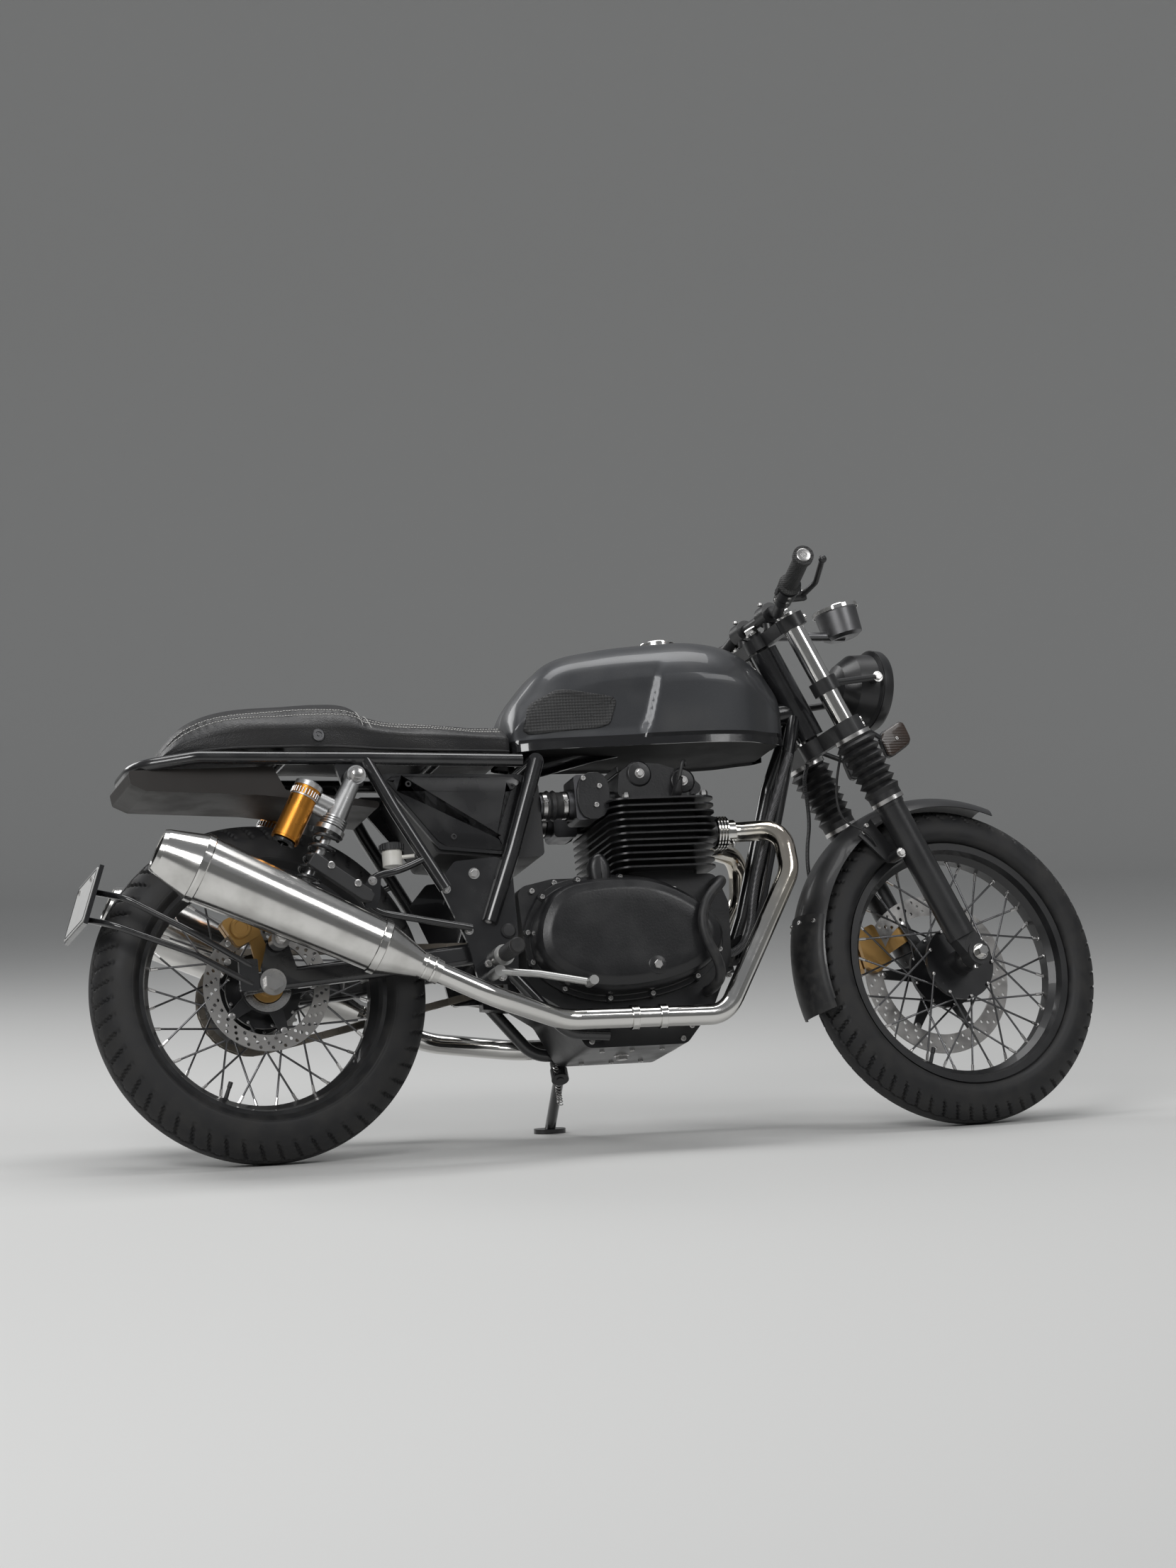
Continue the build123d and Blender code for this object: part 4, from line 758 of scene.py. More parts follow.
for side in (-1, 1):
    case_screws += side_heads(cap_screw, side, 105, CASE_SPOTS, 5.5, 5)
    case_screws += [cap_screw((x, side * 70, SUMP_FACE), (0, 0, -1), 5, 4) for x in (640, 700, 760)]
fitted("case_screws", case_screws, bright_steel)

# Cylinders
# Finned alloy in the same black, with a rocker cover on top held by domed nuts. A rubber cap and lead
# reach each spark plug.
rubber_black = worn("rubber_black", "rubber_black", (0.01, 0.01, 0.011), (0.028, 0.027, 0.026),
                    (0.45, 0.75, 60, 6.0), 0.15, 0.48, (700, 2.0, 0.2, 0.0003), {})
rocker_parts, head_nuts, plug_caps = [], [], []
for side in (-1, 1):
    for middle, top in ((752, 719), (838, 702)):
        hump = [(0, 0), (0, 24), (6, 27), (30, 27), (36, 22), (38, 0)]
        rocker_parts.append(turned(hump, (middle, side * 86, top - 22), (0, side, 0)))
        head_nuts.append(bolt((middle, side * 123, top - 22), (0, side, 0), 7, 6))
    for x, y in ((716, 66), (876, 66), (716, 138), (872, 138)):
        head_nuts.append(turned([(0, 0), (0, 8), (6, 8), (10, 6), (12, 0)], (x, side * y, 646), (0, 0, 1), 6))
    plug_caps.append(turned([(0, 0), (0, 8), (18, 9.5), (30, 9.5), (34, 7), (48, 5), (50, 3.5), (56, 3.5)],
                            (820, side * 112, 640), (0.1, side * 0.55, 0.62), 20))
    lead = [(824 + 4 * n, side * (141 - 2.2 * n * n / 3), 676 + 16 * n - 1.5 * n * n) for n in range(8)]
    plug_caps.append(swept(lead, 3.5))
for number, x in enumerate((724, 752, 780, 808, 836)):
    rib_top = 724 - number * 3
    rocker_parts.append(slab([(x, 712), (x + 4, 712), (x + 4, rib_top), (x, rib_top)], -70, 70))
fitted("rocker_humps", rocker_parts, cast_black, sharp=30, soften=0.8)
fitted("head_nuts", head_nuts, bright_steel)
fitted("plug_caps", plug_caps, rubber_black)

# Throttle bodies and air box
# Dark castings between rubber stubs held by steel bands, with a flat cover on each outer face. The air
# box behind them is black moulded plastic.
INTAKE_HEIGHT = 648
throttle_metal = metal("throttle_metal", "throttle_metal", (0.1, 0.1, 0.105), 0.38, 500, 0.4)
airbox_plastic = sprayed("airbox_plastic", "black_plastic", (0.018, 0.018, 0.019), 0.46, 0, 0.4)
coat_nodes(throttle_metal, "throttle_bodies")
coat_nodes(airbox_plastic, "airbox")
STUB = [(0, 0), (0, 25.5), (8, 26), (14, 30), (20, 26), (26, 30), (32, 26), (46, 26), (46, 0)]
bands, stubs, plates = [], [], []
for side in (-1, 1):
    for x, radius in ((606, 27), (566, 27), (664, 31.5)):
        bands.append(turned(hoop(-4, 4, radius - 1, radius), (x, side * 78, INTAKE_HEIGHT), (1, 0, 0), 40))
        bands.append(cap_screw((x, side * (78 + radius), INTAKE_HEIGHT + 4), (0, side, 0), 4, 5))
    stubs.append(turned(STUB, (560, side * 78, INTAKE_HEIGHT), (1, 0, 0), 40))
    plates.append(slab(eased([(628, 704), (694, 704), (688, 612), (624, 612)], 2), side * 112, side * 116))
    bands += side_heads(cap_screw, side, 116, ((671, 676), (662, 639), (640, 692)), 5, 4)
fitted("intake_bands", bands, bright_steel)
fitted("intake_stubs", stubs, rubber_black)
fitted("throttle_covers", plates, cast_black, soften=1)

# Exhaust
# Chromed steel pipes, straw and blue by the ports from heat, in collars with welded rings below. The
# silencers are polished, brushed along their undersides, with rolled bands and a tapered end.
PORT = Vector((905, -78, 584))
HEAT_COLOURS = [(0, (0.7, 0.69, 0.67)), (0.35, (0.7, 0.65, 0.56)), (0.62, (0.62, 0.53, 0.47)),
                (0.85, (0.47, 0.47, 0.54)), (1, (0.55, 0.54, 0.52))]
pipe_chrome, shade = slotted("pipe_chrome", "chrome")
port_ahead = (CHASSIS @ (PORT / 1000)).x
spot = own_place(shade)
forward = shade.node("SeparateXYZ", {}, {"Vector": spot})
wander = (speckle(shade, 12) - 0.5) * 0.08
heat = between(shade, port_ahead + 0.02, port_ahead + 0.2, forward + wander)
warm = heat * between(shade, 0.28, 0.6, shade.node("SeparateXYZ", {}, {"Vector": spot}, 2))
tint = shade.node("ValToRGB", {"stops": HEAT_COLOURS}, {"Fac": warm})
film = patches(shade, 0.42, 0.8, 26, 8.0)
surface(shade, {"Base Color": tint, "Metallic": 1.0, "Roughness": film * 0.16 + 0.07,
                "Normal": grained(shade, 500, 3.0, 0.05, 0.0003)})
coat_nodes(pipe_chrome, "exhaust_pipes")
silencer_steel, shade = slotted("silencer_steel", "silencer_steel")
drawn = shade.node("Mapping", {}, {"Vector": own_place(shade), "Rotation": (0, math.radians(26), 0),
                                   "Scale": (6, 160, 160)})
brushing = shade.node("TexNoise", {}, {"Vector": drawn, "Scale": 3.0, "Detail": 6.0})
film = patches(shade, 0.42, 0.8, 18, 8.0)
surface(shade, {"Base Color": tinted(shade, (0.72, 0.71, 0.69), (0.5, 0.49, 0.47), film), "Metallic": 1.0,
                "Roughness": film * 0.12 + brushing * 0.14 + 0.06,
                "Normal": relief(shade, brushing, 0.06, 0.0003)})
coat_nodes(silencer_steel, "silencers")
collars, hanger_bolts, mouths = [], [], []
for side in (-1, 1):
    mouth = Vector((-225, side * 252, 553))
    neck = Vector((286, side * 252, 303))
    run = (neck - mouth).normalized()
    length = (neck - mouth).length
    for along, radius in ((79, 66.2), (441, 53.4), (length - 30, 25.5), (length - 14, 25.5)):
        roll = [(-3, radius - 2), (-2, radius), (2, radius), (3, radius - 2), (-3, radius - 2)]
        collars.append(turned(roll, mouth + run * along, run, 64))
    collars.append(turned([(0, 27), (0, 34), (4, 36.5), (7, 34), (7, 27), (0, 27)], mouth + run, run, 48))
    mouths.append(turned([(6, 27), (60, 26), (110, 24), (110, 0)], mouth, run))
    for x in (672, 684, 728, 740):
        collars.append(turned([(-1.6, 19), (-0.8, 23.4), (0.8, 23.4), (1.6, 19), (-1.6, 19)],
                              (x, side * 170, 216), (1, 0, 0), 40))
    collar = Vector((PORT.x + 32, -side * PORT.y, PORT.z))
    collars.append(turned(hoop(-7, 7, 21, 25), collar, (1, 0, 0), 40))
    for angle in (60, 240):
        spoke = Vector((0, math.cos(math.radians(angle)), math.sin(math.radians(angle))))
        hanger_bolts.append(bolt(collar + spoke * 30, (1, 0, 0), 5, 5))
    hanger_bolts += side_heads(bolt, side, 154, ((199, 500), (188, 478)), 6.5, 6)
fitted("exhaust_rings", collars, pipe_chrome, sharp=40)
fitted("silencer_cores", mouths, dull_plastic)
fitted("exhaust_nuts", hanger_bolts, bright_steel)

# Fuel tank
# Pressed steel in satin graphite, with a knee recess behind a sharp crease in each side and a dimpled
# rubber pad in it. A gloss black band and a folded lip run along the bottom.
# rows: x, top, half width, shoulder share, fullness
TANK_ROWS = [(514, 806, 80, 0.45, 0.88), (522, 838, 92, 0.46, 0.88), (545, 872, 104, 0.5, 0.9),
             (610, 934, 118, 0.55, 0.9), (700, 957, 124, 0.6, 0.9), (800, 966, 134, 0.6, 0.9),
             (900, 968, 139, 0.6, 0.9), (980, 957, 130, 0.55, 0.86), (1030, 940, 104, 0.42, 0.76),
             (1056, 925, 92, 0.3, 0.62), (1071, 886, 66, 0.4, 0.8)]
TANK_BACK = 514
TANK_FLOOR = 764
FOOT_SHARE = 0.94
CREASE = [(775, 776), (791, 802), (817, 893), (828, 917)]
CREASE_WIDTH = 16
RECESS_DEPTH = 9


def curved(rows, x):
    """A row's values at any x, on a smooth curve through the rows."""
    place = max(n for n in range(len(rows) - 1) if rows[n][0] <= x or n == 0)
    first, second = rows[max(place - 1, 0)], rows[place]
    third, fourth = rows[place + 1], rows[min(place + 2, len(rows) - 1)]
    span = third[0] - second[0]
    share = min(max((x - second[0]) / span, 0), 1)
    onward = 3 * share ** 2 - 2 * share ** 3
    values = []
    for n in range(1, len(second)):
        leave = (third[n] - first[n]) / (third[0] - first[0]) * span
        arrive = (fourth[n] - second[n]) / (fourth[0] - second[0]) * span
        values.append(second[n] + (third[n] - second[n]) * onward
                      + (share ** 3 - 2 * share ** 2 + share) * leave + (share ** 3 - share ** 2) * arrive)
    return values


def smooth_step(low, high, value):
    share = min(max((value - low) / (high - low), 0), 1)
    return share * share * (3 - 2 * share)


def section_points(low, top, half, share, fullness, count):
    """One side of a section: up the side from the floor, then over the crown to the middle."""
    shoulder = low + (top - low) * share
    peak = Vector((0, top))
    first = Vector((half, shoulder)) - peak
    second = Vector((half * 0.72, low + (top - low) * fullness)) - peak
    turn = 2 * (first.x * second.y - first.y * second.x)
    centre = peak + Vector((second.y * first.length_squared - first.y * second.length_squared,
                            first.x * second.length_squared - second.x * first.length_squared)) / turn
    radius = (peak - centre).length
    begin = math.atan2(shoulder - centre.y, half - centre.x)
    end = math.atan2(top - centre.y, -centre.x)
    up = [(half * (FOOT_SHARE + (1 - FOOT_SHARE) * n / 8), low + (shoulder - low) * n / 8) for n in range(8)]
    over = [tuple(on_circle(centre, radius, begin + (end - begin) * n / count)) for n in range(count)]
    return up + over + [(0, top)]


def recess(x, z):
    """How deep the knee recess is there."""
    crease = CREASE[0][0]
    for (low_x, low_z), (high_x, high_z) in zip(CREASE, CREASE[1:]):
        if z > low_z:
            crease = low_x + (high_x - low_x) * min((z - low_z) / (high_z - low_z), 1)
    inside = (1 - smooth_step(crease - CREASE_WIDTH, crease, x)) * (1 - smooth_step(862, 925, z))
    return RECESS_DEPTH * inside * smooth_step(512, 545, x) * smooth_step(TANK_FLOOR, 778, z)


def tank_side(x, z):
    """The tank's half width at a height on its side."""
    outline = section_points(TANK_FLOOR, *curved(TANK_ROWS, x), 30)
    for (y, height), (next_y, next_height) in zip(outline, outline[1:]):
        if height <= z <= next_height:
            return y + (next_y - y) * (z - height) / (next_height - height) - recess(x, z)
    return outline[0][0]


def lofted(stations, section):
    """A closed body from the same number of points in a section at each station."""
    rings = []
    for x in stations:
        half = section(x)
        rings.append([(x, y, z) for y, z in half] + [(x, -y, z) for y, z in reversed(half[:-1])])
    return woven(rings, caps=True)


def tank_section(x):
    return [(y - recess(x, z), z) for y, z in section_points(TANK_FLOOR, *curved(TANK_ROWS, x), 40)]


def tank_foot(x):
    """The tank's half width at its floor."""
    return curved(TANK_ROWS, x)[1] * FOOT_SHARE


tank_paint, shade = slotted("tank_paint", "tank_paint")
flakes = shade.node("TexVoronoi", {}, {"Vector": own_place(shade), "Scale": 2600.0}, 1)
flake_light = shade.node("SeparateColor", {}, {"Color": flakes})
dust = patches(shade, 0.45, 0.75, 9, 7.0)
height = shade.node("SeparateXYZ", {}, {"Vector": own_place(shade)}, 2)
band = between(shade, 0.7755, 0.7765, height)
graphite = tinted(shade, (0.036, 0.038, 0.042), (0.062, 0.064, 0.069), flake_light)
graphite = tinted(shade, graphite, (0.075, 0.074, 0.072), dust * 0.4)
surface(shade, {"Base Color": tinted(shade, (0.009, 0.009, 0.01), graphite, band),
                "Roughness": band * (dust * 0.12 + 0.26) + 0.1, "Metallic": band * 0.35, "Coat Weight": 0.35,
                "Normal": grained(shade, 180, 2.0, 0.05, 0.0004)})
stations = [TANK_BACK + 0.6, TANK_BACK + 4, TANK_BACK + 8] + [526 + 545 * n / 140 for n in range(1, 141)]
tank = fitted("tank_shell", [lofted(stations, tank_section)], tank_paint, sharp=60, upright=True)
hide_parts("fuel_tank")
lips = []
for side in (-1, 1):
    rings = []
    for x in [516 + 553 * number / 59 for number in range(60)]:
        y = tank_foot(x)
        fold = ((y - 3, TANK_FLOOR + 1), (y - 1, 753), (y + 1.5, 753), (y + 1, TANK_FLOOR + 4))
        rings.append([(x, side * across, z) for across, z in fold])
    lips.append(woven(rings))
band_black = sprayed("band_black", "tank_paint", (0.009, 0.009, 0.01), 0.12, 0.5)
fitted("tank_lip", lips, band_black, sharp=50)
# Painted shade: a near-black matte slab just under the tank's floor, inside the lip, hides the tank's
# underside, which is in shade there.
rings = []
for x in [524 + 536 * number / 30 for number in range(31)]:
    half = tank_foot(x) - 2.5
    rings.append([(x, -half, 758), (x, half, 758), (x, half, 762), (x, -half, 762)])
painted_shade_pan = sprayed("painted_shade_pan", "tank_paint", (0.008, 0.008, 0.008), 0.8)
fitted("tank_shade_slab", [woven(rings, caps=True)], painted_shade_pan)
PAD_CORNERS = [(610, 872), (716, 852), (722, 841), (705, 793), (548, 785), (537, 794), (552, 846)]
PAD_OUTLINE = eased(PAD_CORNERS, 2, 0.12)
pad_rubber, shade = slotted("pad_rubber", "rubber_black")
dimples = shade.node("TexVoronoi", {}, {"Vector": own_place(shade), "Scale": 170.0, "Randomness": 0.0})
worn_black = tinted(shade, (0.012, 0.012, 0.013), (0.03, 0.03, 0.03), speckle(shade, 40, 5.0))
surface(shade, {"Base Color": worn_black, "Roughness": 0.55, "Normal": relief(shade, dimples, 0.8, 0.003)})
outlines = [(inset(PAD_OUTLINE, amount), proud)
            for amount, proud in ((0, -1), (0, 2.5), (1.5, 4), (7, 4.2), (9, 3.2), (15, 3.2))]
top = outlines[-1][0]
middle = (sum(x for x, z in top) / len(top), sum(z for x, z in top) / len(top))
for share in (0.66, 0.33, 0):
    outlines.append(([(middle[0] + (x - middle[0]) * share, middle[1] + (z - middle[1]) * share)
                      for x, z in top], 3.2))
pads = []
for side in (-1, 1):
    pads.append(woven([[(x, side * (tank_side(x, z) + proud), z) for x, z in outline]
                       for outline, proud in outlines]))
fitted("knee_pads", pads, pad_rubber, sharp=40, upright=True)

# Filler cap
# A chromed flip cap on a screwed ring, with its hinge ahead and a thumb tab behind.
CAP_X = 853
bright_chrome = metal("bright_chrome", "chrome", (0.76, 0.75, 0.73), 0.06, 400, 0.04)
coat_nodes(bright_chrome, "filler_cap")
screwed_ring = [(-14, 0), (-14, 41), (-3, 41), (-0.5, 38.5), (-0.5, 24)]
ring_parts = [turned(screwed_ring, (CAP_X, 0, 973), (0, 0, 1), 64)]
for angle in [math.radians(number * 60 + 30) for number in range(6)]:
    spot = (CAP_X + 39 * math.cos(angle), 39 * math.sin(angle), 969)
    ring_parts.append(cap_screw(spot, (0, 0, 1), 2.2, 2.2))
for side in (-1, 1):
    ring_parts.append(slab([(891, 981), (899, 981), (899, 950), (891, 950)], side * 8.6, side * 13))
fitted("cap_ring", ring_parts, bright_chrome)
crown = [turned([(10, 0), (10, 29), (11.2, 28), (12, 22), (12, 0)], (CAP_X, 0, 973.3), (0, 0, 1), 64),
         slab([(811, 975), (822, 975), (822, 981), (813, 980)], -9, 9)]
fitted("cap_crown", crown, bright_chrome, "filler_cap")

# Seat
# Grained black leather over foam, with a hump at the tail. A white double stitch follows its top edge and
# runs down the front, piping closes the base, and a round button sits in each side.
# rows: x, base, top, half width, shoulder share
SEAT_ROWS = [(-168, 756, 768, 66, 0.5), (-160, 757, 786, 80, 0.45), (-120, 764, 824, 104, 0.42),
             (-52, 768, 848, 120, 0.45), (60, 768, 857, 125, 0.45), (150, 766, 859, 124, 0.45),
             (196, 763, 854, 123, 0.46), (236, 760, 832, 120, 0.5), (280, 758, 822, 118, 0.52),
             (360, 754, 816, 116, 0.52), (440, 752, 808, 110, 0.52), (498, 751, 807, 102, 0.5),
             (506, 751, 800, 97, 0.5)]
SEAT_FULLNESS = 0.9
SEAM_ROW = 17
LOW_SEAM_ROW = 7
CROSS_SEAM = 224
STITCH_LENGTH = 3.6
STITCH_STEP = 5.6


def seat_section(x):
    """One side of the cushion, drawn in along its seams and puckered beside them."""
    low, top, half, share = curved(SEAT_ROWS, x)
    drawn = []
    for number, (y, z) in enumerate(section_points(low, top, half, share, SEAT_FULLNESS, 36)):
        pull = 2.2 * math.exp(-((number - SEAM_ROW) / 1.1) ** 2)
        pull += 1.2 * math.exp(-((number - LOW_SEAM_ROW) / 2.0) ** 2)
        pull += 0.7 * math.sin(x * 0.42) * math.exp(-((number - SEAM_ROW) / 4.5) ** 2)
        pull += 0.8 * math.sin(x * 0.031 + number * 0.4)
        pull += 3.0 * math.exp(-((x - CROSS_SEAM) / 7) ** 2) * (number > 9)
        out = Vector((y, (z - low) * 1.2)).normalized()
        drawn.append((max(y - out.x * pull, 0) if y else 0, z - out.y * pull * (number > 1)))
    return drawn


leather, shade = slotted("seat_leather", "seat_leather")
spot = own_place(shade)
grain = shade.node("TexVoronoi", {"feature": "SMOOTH_F1"}, {
    "Vector": spot, "Scale": 420.0, "Smoothness": 0.4})
creases = shade.node("TexNoise", {}, {"Vector": spot, "Scale": 55.0, "Detail": 8.0, "Distortion": 1.2})
rubbed = patches(shade, 0.45, 0.72, 8, 6.0)
surface(shade, {"Base Color": tinted(shade, (0.01, 0.01, 0.011), (0.026, 0.025, 0.025), rubbed),
                "Roughness": rubbed * -0.14 + grain * 0.1 + 0.44,
                "Normal": relief(shade, grain * 0.6 + creases * 0.5, 0.55, 0.0012)})
stations = [-168, -166, -163] + [-160 + 666 * n / 260 for n in range(261)]
cushion = fitted("seat_cushion", [lofted(stations, seat_section)], leather, sharp=75)
rounding = cushion.modifiers.new("rounding", "BEVEL")
rounding.width = 0.006
rounding.segments = 4
rounding.limit_method = "ANGLE"
rounding.angle_limit = math.radians(70)
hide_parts("seat")
thread = sprayed("white_thread", "seat_leather", (0.78, 0.77, 0.74), 0.7)


def seam_point(x, row, side, proud=0.5):
    """A point on the cushion at a row of its section."""
    ring = seat_section(x)
    (last_y, last_z), (y, z), (next_y, next_z) = ring[row - 1:row + 2]
    out = Vector((next_z - last_z, last_y - next_y)).normalized()
    out = out if out.y > 0 or out.x > 0 else out * -1
    return Vector((x, side * (y + out.x * proud), z + out.y * proud))


def stitch(first, second, rise):
    """A short thread between two points, raised in its middle."""
    return swept([first, first.lerp(second, 0.5) + Vector(rise), second], 0.55, 5)


BUTTON = [(0, 0), (0, 12), (3, 12), (4.5, 10.5), (4.5, 6.5), (2.5, 6), (2.5, 3), (4, 2.4), (4, 0)]
stitches, piping, buttons = [], [], []
for side in (-1, 1):
    for row in (SEAM_ROW - 2, SEAM_ROW + 2):
        x = -150.0
        while x < 494:
            ends = (seam_point(x, row, side), seam_point(x + STITCH_LENGTH, row, side))
            stitches.append(stitch(*ends, (0, side * 0.25, 0.3)))
            x += STITCH_STEP
    for x in (CROSS_SEAM - 8, CROSS_SEAM + 8):
        for row in range(10, 41):
            first = seam_point(x, row, side)
            stitches.append(stitch(first, first.lerp(seam_point(x, row + 1, side), 0.62), (0, 0, 0.3)))
    route = []
    for x in [-166 + 670 * number / 79 for number in range(80)]:
        low, top, half, share = curved(SEAT_ROWS, x)
        route.append((x, side * (half * FOOT_SHARE + 0.5), low + 3))
    piping.append(swept(route, 3.2))
    buttons.append(turned(BUTTON, (127, side * 120.5, 790), (0, side, 0.1)))
fitted("seat_stitching", stitches, thread, sharp=60)
fitted("seat_piping", piping, leather)
fitted("seat_buttons", buttons, metal("button_steel", "steel", (0.2, 0.2, 0.205), 0.25))

# Undertray and side panels
# Moulded black plastic. The tray closes the tail from below, and a faceted panel hides the battery on
# each side, held by three push screws.
panel_plastic, shade = slotted("panel_plastic", "black_plastic")
scrapes = shade.node("TexWave", {"wave_type": "RINGS", "rings_direction": "Y"}, {
    "Vector": own_place(shade), "Scale": 1.3, "Distortion": 3.0, "Detail": 3.0})
line = between(shade, 0.986, 1.0, scrapes)
haze = patches(shade, 0.45, 0.75, 16, 7.0)
hazed = tinted(shade, (0.009, 0.009, 0.01), (0.035, 0.035, 0.035), haze * 0.4 + line * 0.4)
surface(shade, {"Base Color": hazed, "Roughness": haze * 0.14 + 0.26, "Coat Weight": 0.15,
                "Normal": grained(shade, 600, 2.0, 0.1, 0.0003)})
coat_nodes(panel_plastic, "side_panels")
tray_plastic = sprayed("tray_plastic", "black_plastic", (0.014, 0.011, 0.009), 0.5)
coat_nodes(tray_plastic, "rear_mudguard")
panel_outline = eased([(246, 711), (524, 701), (483, 556), (352, 571)], 2, 0.07)
panel_faces, panel_screws = [], []
for side in (-1, 1):
    panel_faces.append(stacked(panel_outline, side, [(0, 104.0), (2, 106), (14, 109), (30, 109.6)]))
    panel_screws += side_heads(cap_screw, side, 109, ((499, 682), (376, 588), (296, 693)), 6, 3)
fitted("panel_faces", panel_faces, panel_plastic, sharp=20)
fitted("panel_screws", panel_screws, dull_plastic)

# Shock absorbers
# A cast top joins each damper to its anodised gas canister, with a knurled ring between them. A black
# spring sits over a chromed body, between a threaded collar and a silver foot.
KNURLS = 28
shock_alloy = metal("shock_alloy", "shock_body", (0.55, 0.55, 0.55), 0.3, 350, 0.35)
spring_black = sprayed("spring_black", "spring_black", (0.012, 0.012, 0.013), 0.22, 0.6)
canister_gold = metal("canister_gold", "shock_gold", (0.72, 0.3, 0.05), 0.24, 300, 0.08)
coat_nodes(shock_alloy, "shock_absorbers")
coat_nodes(spring_black, "shock_springs")
coat_nodes(canister_gold, "shock_reservoirs")
alloy_parts, dark_parts, gold_parts, shock_nuts = [], [], [], []
for side in (-1, 1):
    top = Vector((183, side * 150, 702))
    foot = Vector((13, side * 150, 396))
    canister = Vector((92, side * 150, 682))
    run = (top - foot).normalized()
    for along in (240, 245, 250, 255):
        alloy_parts.append(turned(hoop(0, 2.4, 16, 25), foot + run * along, run, 48))
    for along in (42, 48):
        dark_parts.append(turned(hoop(0, 3.4, 12, 28.5), foot + run * along, run, 48))
    alloy_parts.append(turned(hoop(0, 3, 26.2, 27.6), canister - run * 24, run, 48))
    alloy_parts.append(turned([(0, 0), (0, 27.4), (9, 27.4), (12, 24), (12, 0)], canister - run * 3, run, 48))
    ahead = run.orthogonal().normalized()
    for angle in [math.tau * number / KNURLS for number in range(KNURLS)]:
        spoke = ahead * math.cos(angle) + run.cross(ahead) * math.sin(angle)
        alloy_parts.append(turned(plug(0, 11, 1.4), canister - run * 20 + spoke * 27.2, run, 6))
    gold_parts.append(turned(hoop(0, 7, 26.1, 27), canister - run * 108, run, 48))
    dark_parts.append(turned([(0, 0), (0, 22), (4, 22), (6, 18), (6, 0)], canister - run * 118, run, 40))
    dark_parts.append(turned(plug(0, 6, 3), canister - run * 124, run, 12))
    for point, radius in ((top, 11), (foot, 9.5)):
        shock_nuts.append(bolt(point + Vector((0, side * 18, 0)), (0, side, 0), radius, 11))
    joint = canister - run * 30
    beside = foot + run * (joint - foot).dot(run)
    reach = (joint - beside).normalized() * 20
    alloy_parts.append(swept([beside + reach, joint - reach], 11, 20))
fitted("shock_rings", alloy_parts, shock_alloy)
fitted("shock_collars", dark_parts, spring_black)
fitted("canister_caps", gold_parts, canister_gold)
fitted("shock_nuts", shock_nuts, bright_steel)

# Footrests, levers and brake pot
# Alloy pegs under ribbed rubber, alloy levers with a rubber on the gear lever's tip, and a white fluid
# pot with a ribbed black cap.
PEG_RIBS = 11
LID_RIBS = 20
POT_PLACE = Vector((254, -104, 566.5))
peg_alloy = metal("peg_alloy", "steel", (0.5, 0.5, 0.49), 0.34, 300, 0.3)
coat_nodes(peg_alloy, "footrests", "foot_levers")
profile = [(0, 0), (0, 13)]
for start in [7 * number for number in range(PEG_RIBS)]:
    profile += [(2 + start, 15.5), (6 + start, 15.5), (7 + start, 13.6), (8.6 + start, 13.6)]
profile += [(82, 15.5), (86, 13), (86, 0)]
peg_rubbers, peg_nuts = [], []
for side in (-1, 1):
    peg_rubbers.append(turned(profile, (445, side * 152, 352), (0, side, 0), 28))
    peg_nuts.append(bolt((445, side * PLATE_FACE, 316), (0, side, 0), 7, 6))
fitted("peg_rubbers", peg_rubbers, rubber_black)
fitted("peg_screws", peg_nuts, bright_steel)
tip = [turned([(0, 0), (0, 9.5), (22, 9.5), (24, 8), (24, 0)], (590, 204, 300), (0, 1, 0), 24)]
for number in range(4):
    tip.append(turned(hoop(0, 3, 9.4, 11), (590, 206 + 5 * number, 300), (0, 1, 0), 24))
fitted("lever_rubber", tip, rubber_black)
pot_white, shade = slotted("pot_white", "black_plastic")
surface(shade, {"Base Color": tinted(shade, (0.62, 0.6, 0.54), (0.76, 0.75, 0.72), speckle(shade, 40)),
                "Roughness": 0.42, "Normal": grained(shade, 200, 4.0, 0.1, 0.0003)})
coat_nodes(pot_white, "brake_fluid_reservoir")
lid = [turned([(-1, 0), (-1, 22.5), (11, 22.5), (13, 20), (13, 0)], POT_PLACE, (0, 0, 1), 40)]
for angle in [math.tau * number / LID_RIBS for number in range(LID_RIBS)]:
    spot = POT_PLACE + Vector((math.cos(angle), math.sin(angle), 0)) * 22.3
    lid.append(turned(plug(0, 11, 1.5), spot, (0, 0, 1), 6))
fitted("pot_lid", lid, dull_plastic)

# Brakes and oil lines
# Gold-painted cast calipers with round piston covers and bleed nipples, joined by socket screws. A
# braided hose feeds the front one, and a thin sensor lead follows the other leg. Oil runs in a braided hose
# down the front of the engine and in a fat rubber pipe on its right.
STEERING_FOOT_MM = STEERING_FOOT * 1000


def fork_point(level, ahead, across):
    """A point by its height along the steering axis, its lead over it, and its side, in millimetres."""
    return STEERING_FOOT_MM + UP_FORK * level + AHEAD * ahead + Vector((0, across, 0))


caliper_gold = sprayed("caliper_gold", "caliper_gold", (0.5, 0.29, 0.09), 0.36, 0.2, 0.4, 0.6)
coat_nodes(caliper_gold, "front_brake_caliper", "rear_brake_caliper")
braid, shade = slotted("braided_hose", "rubber_black")
weave = shade.node("TexChecker", {}, {"Vector": own_place(shade), "Scale": 420.0}, 1)
surface(shade, {"Base Color": tinted(shade, (0.03, 0.03, 0.032), (0.12, 0.12, 0.122), weave),
                "Roughness": 0.4, "Metallic": 0.4, "Normal": relief(shade, weave, 0.6, 0.0006)})
oil_hose = [(1082, -64, 738), (1064, -75, 708), (1049, -77, 670), (1033, -78, 634), (1018, -79, 598),
            (1001, -79, 546), (983, -79, 496), (970, -79, 448), (962, -78, 402), (946, -77, 366),
            (926, -76, 350), (908, -76, 347)]
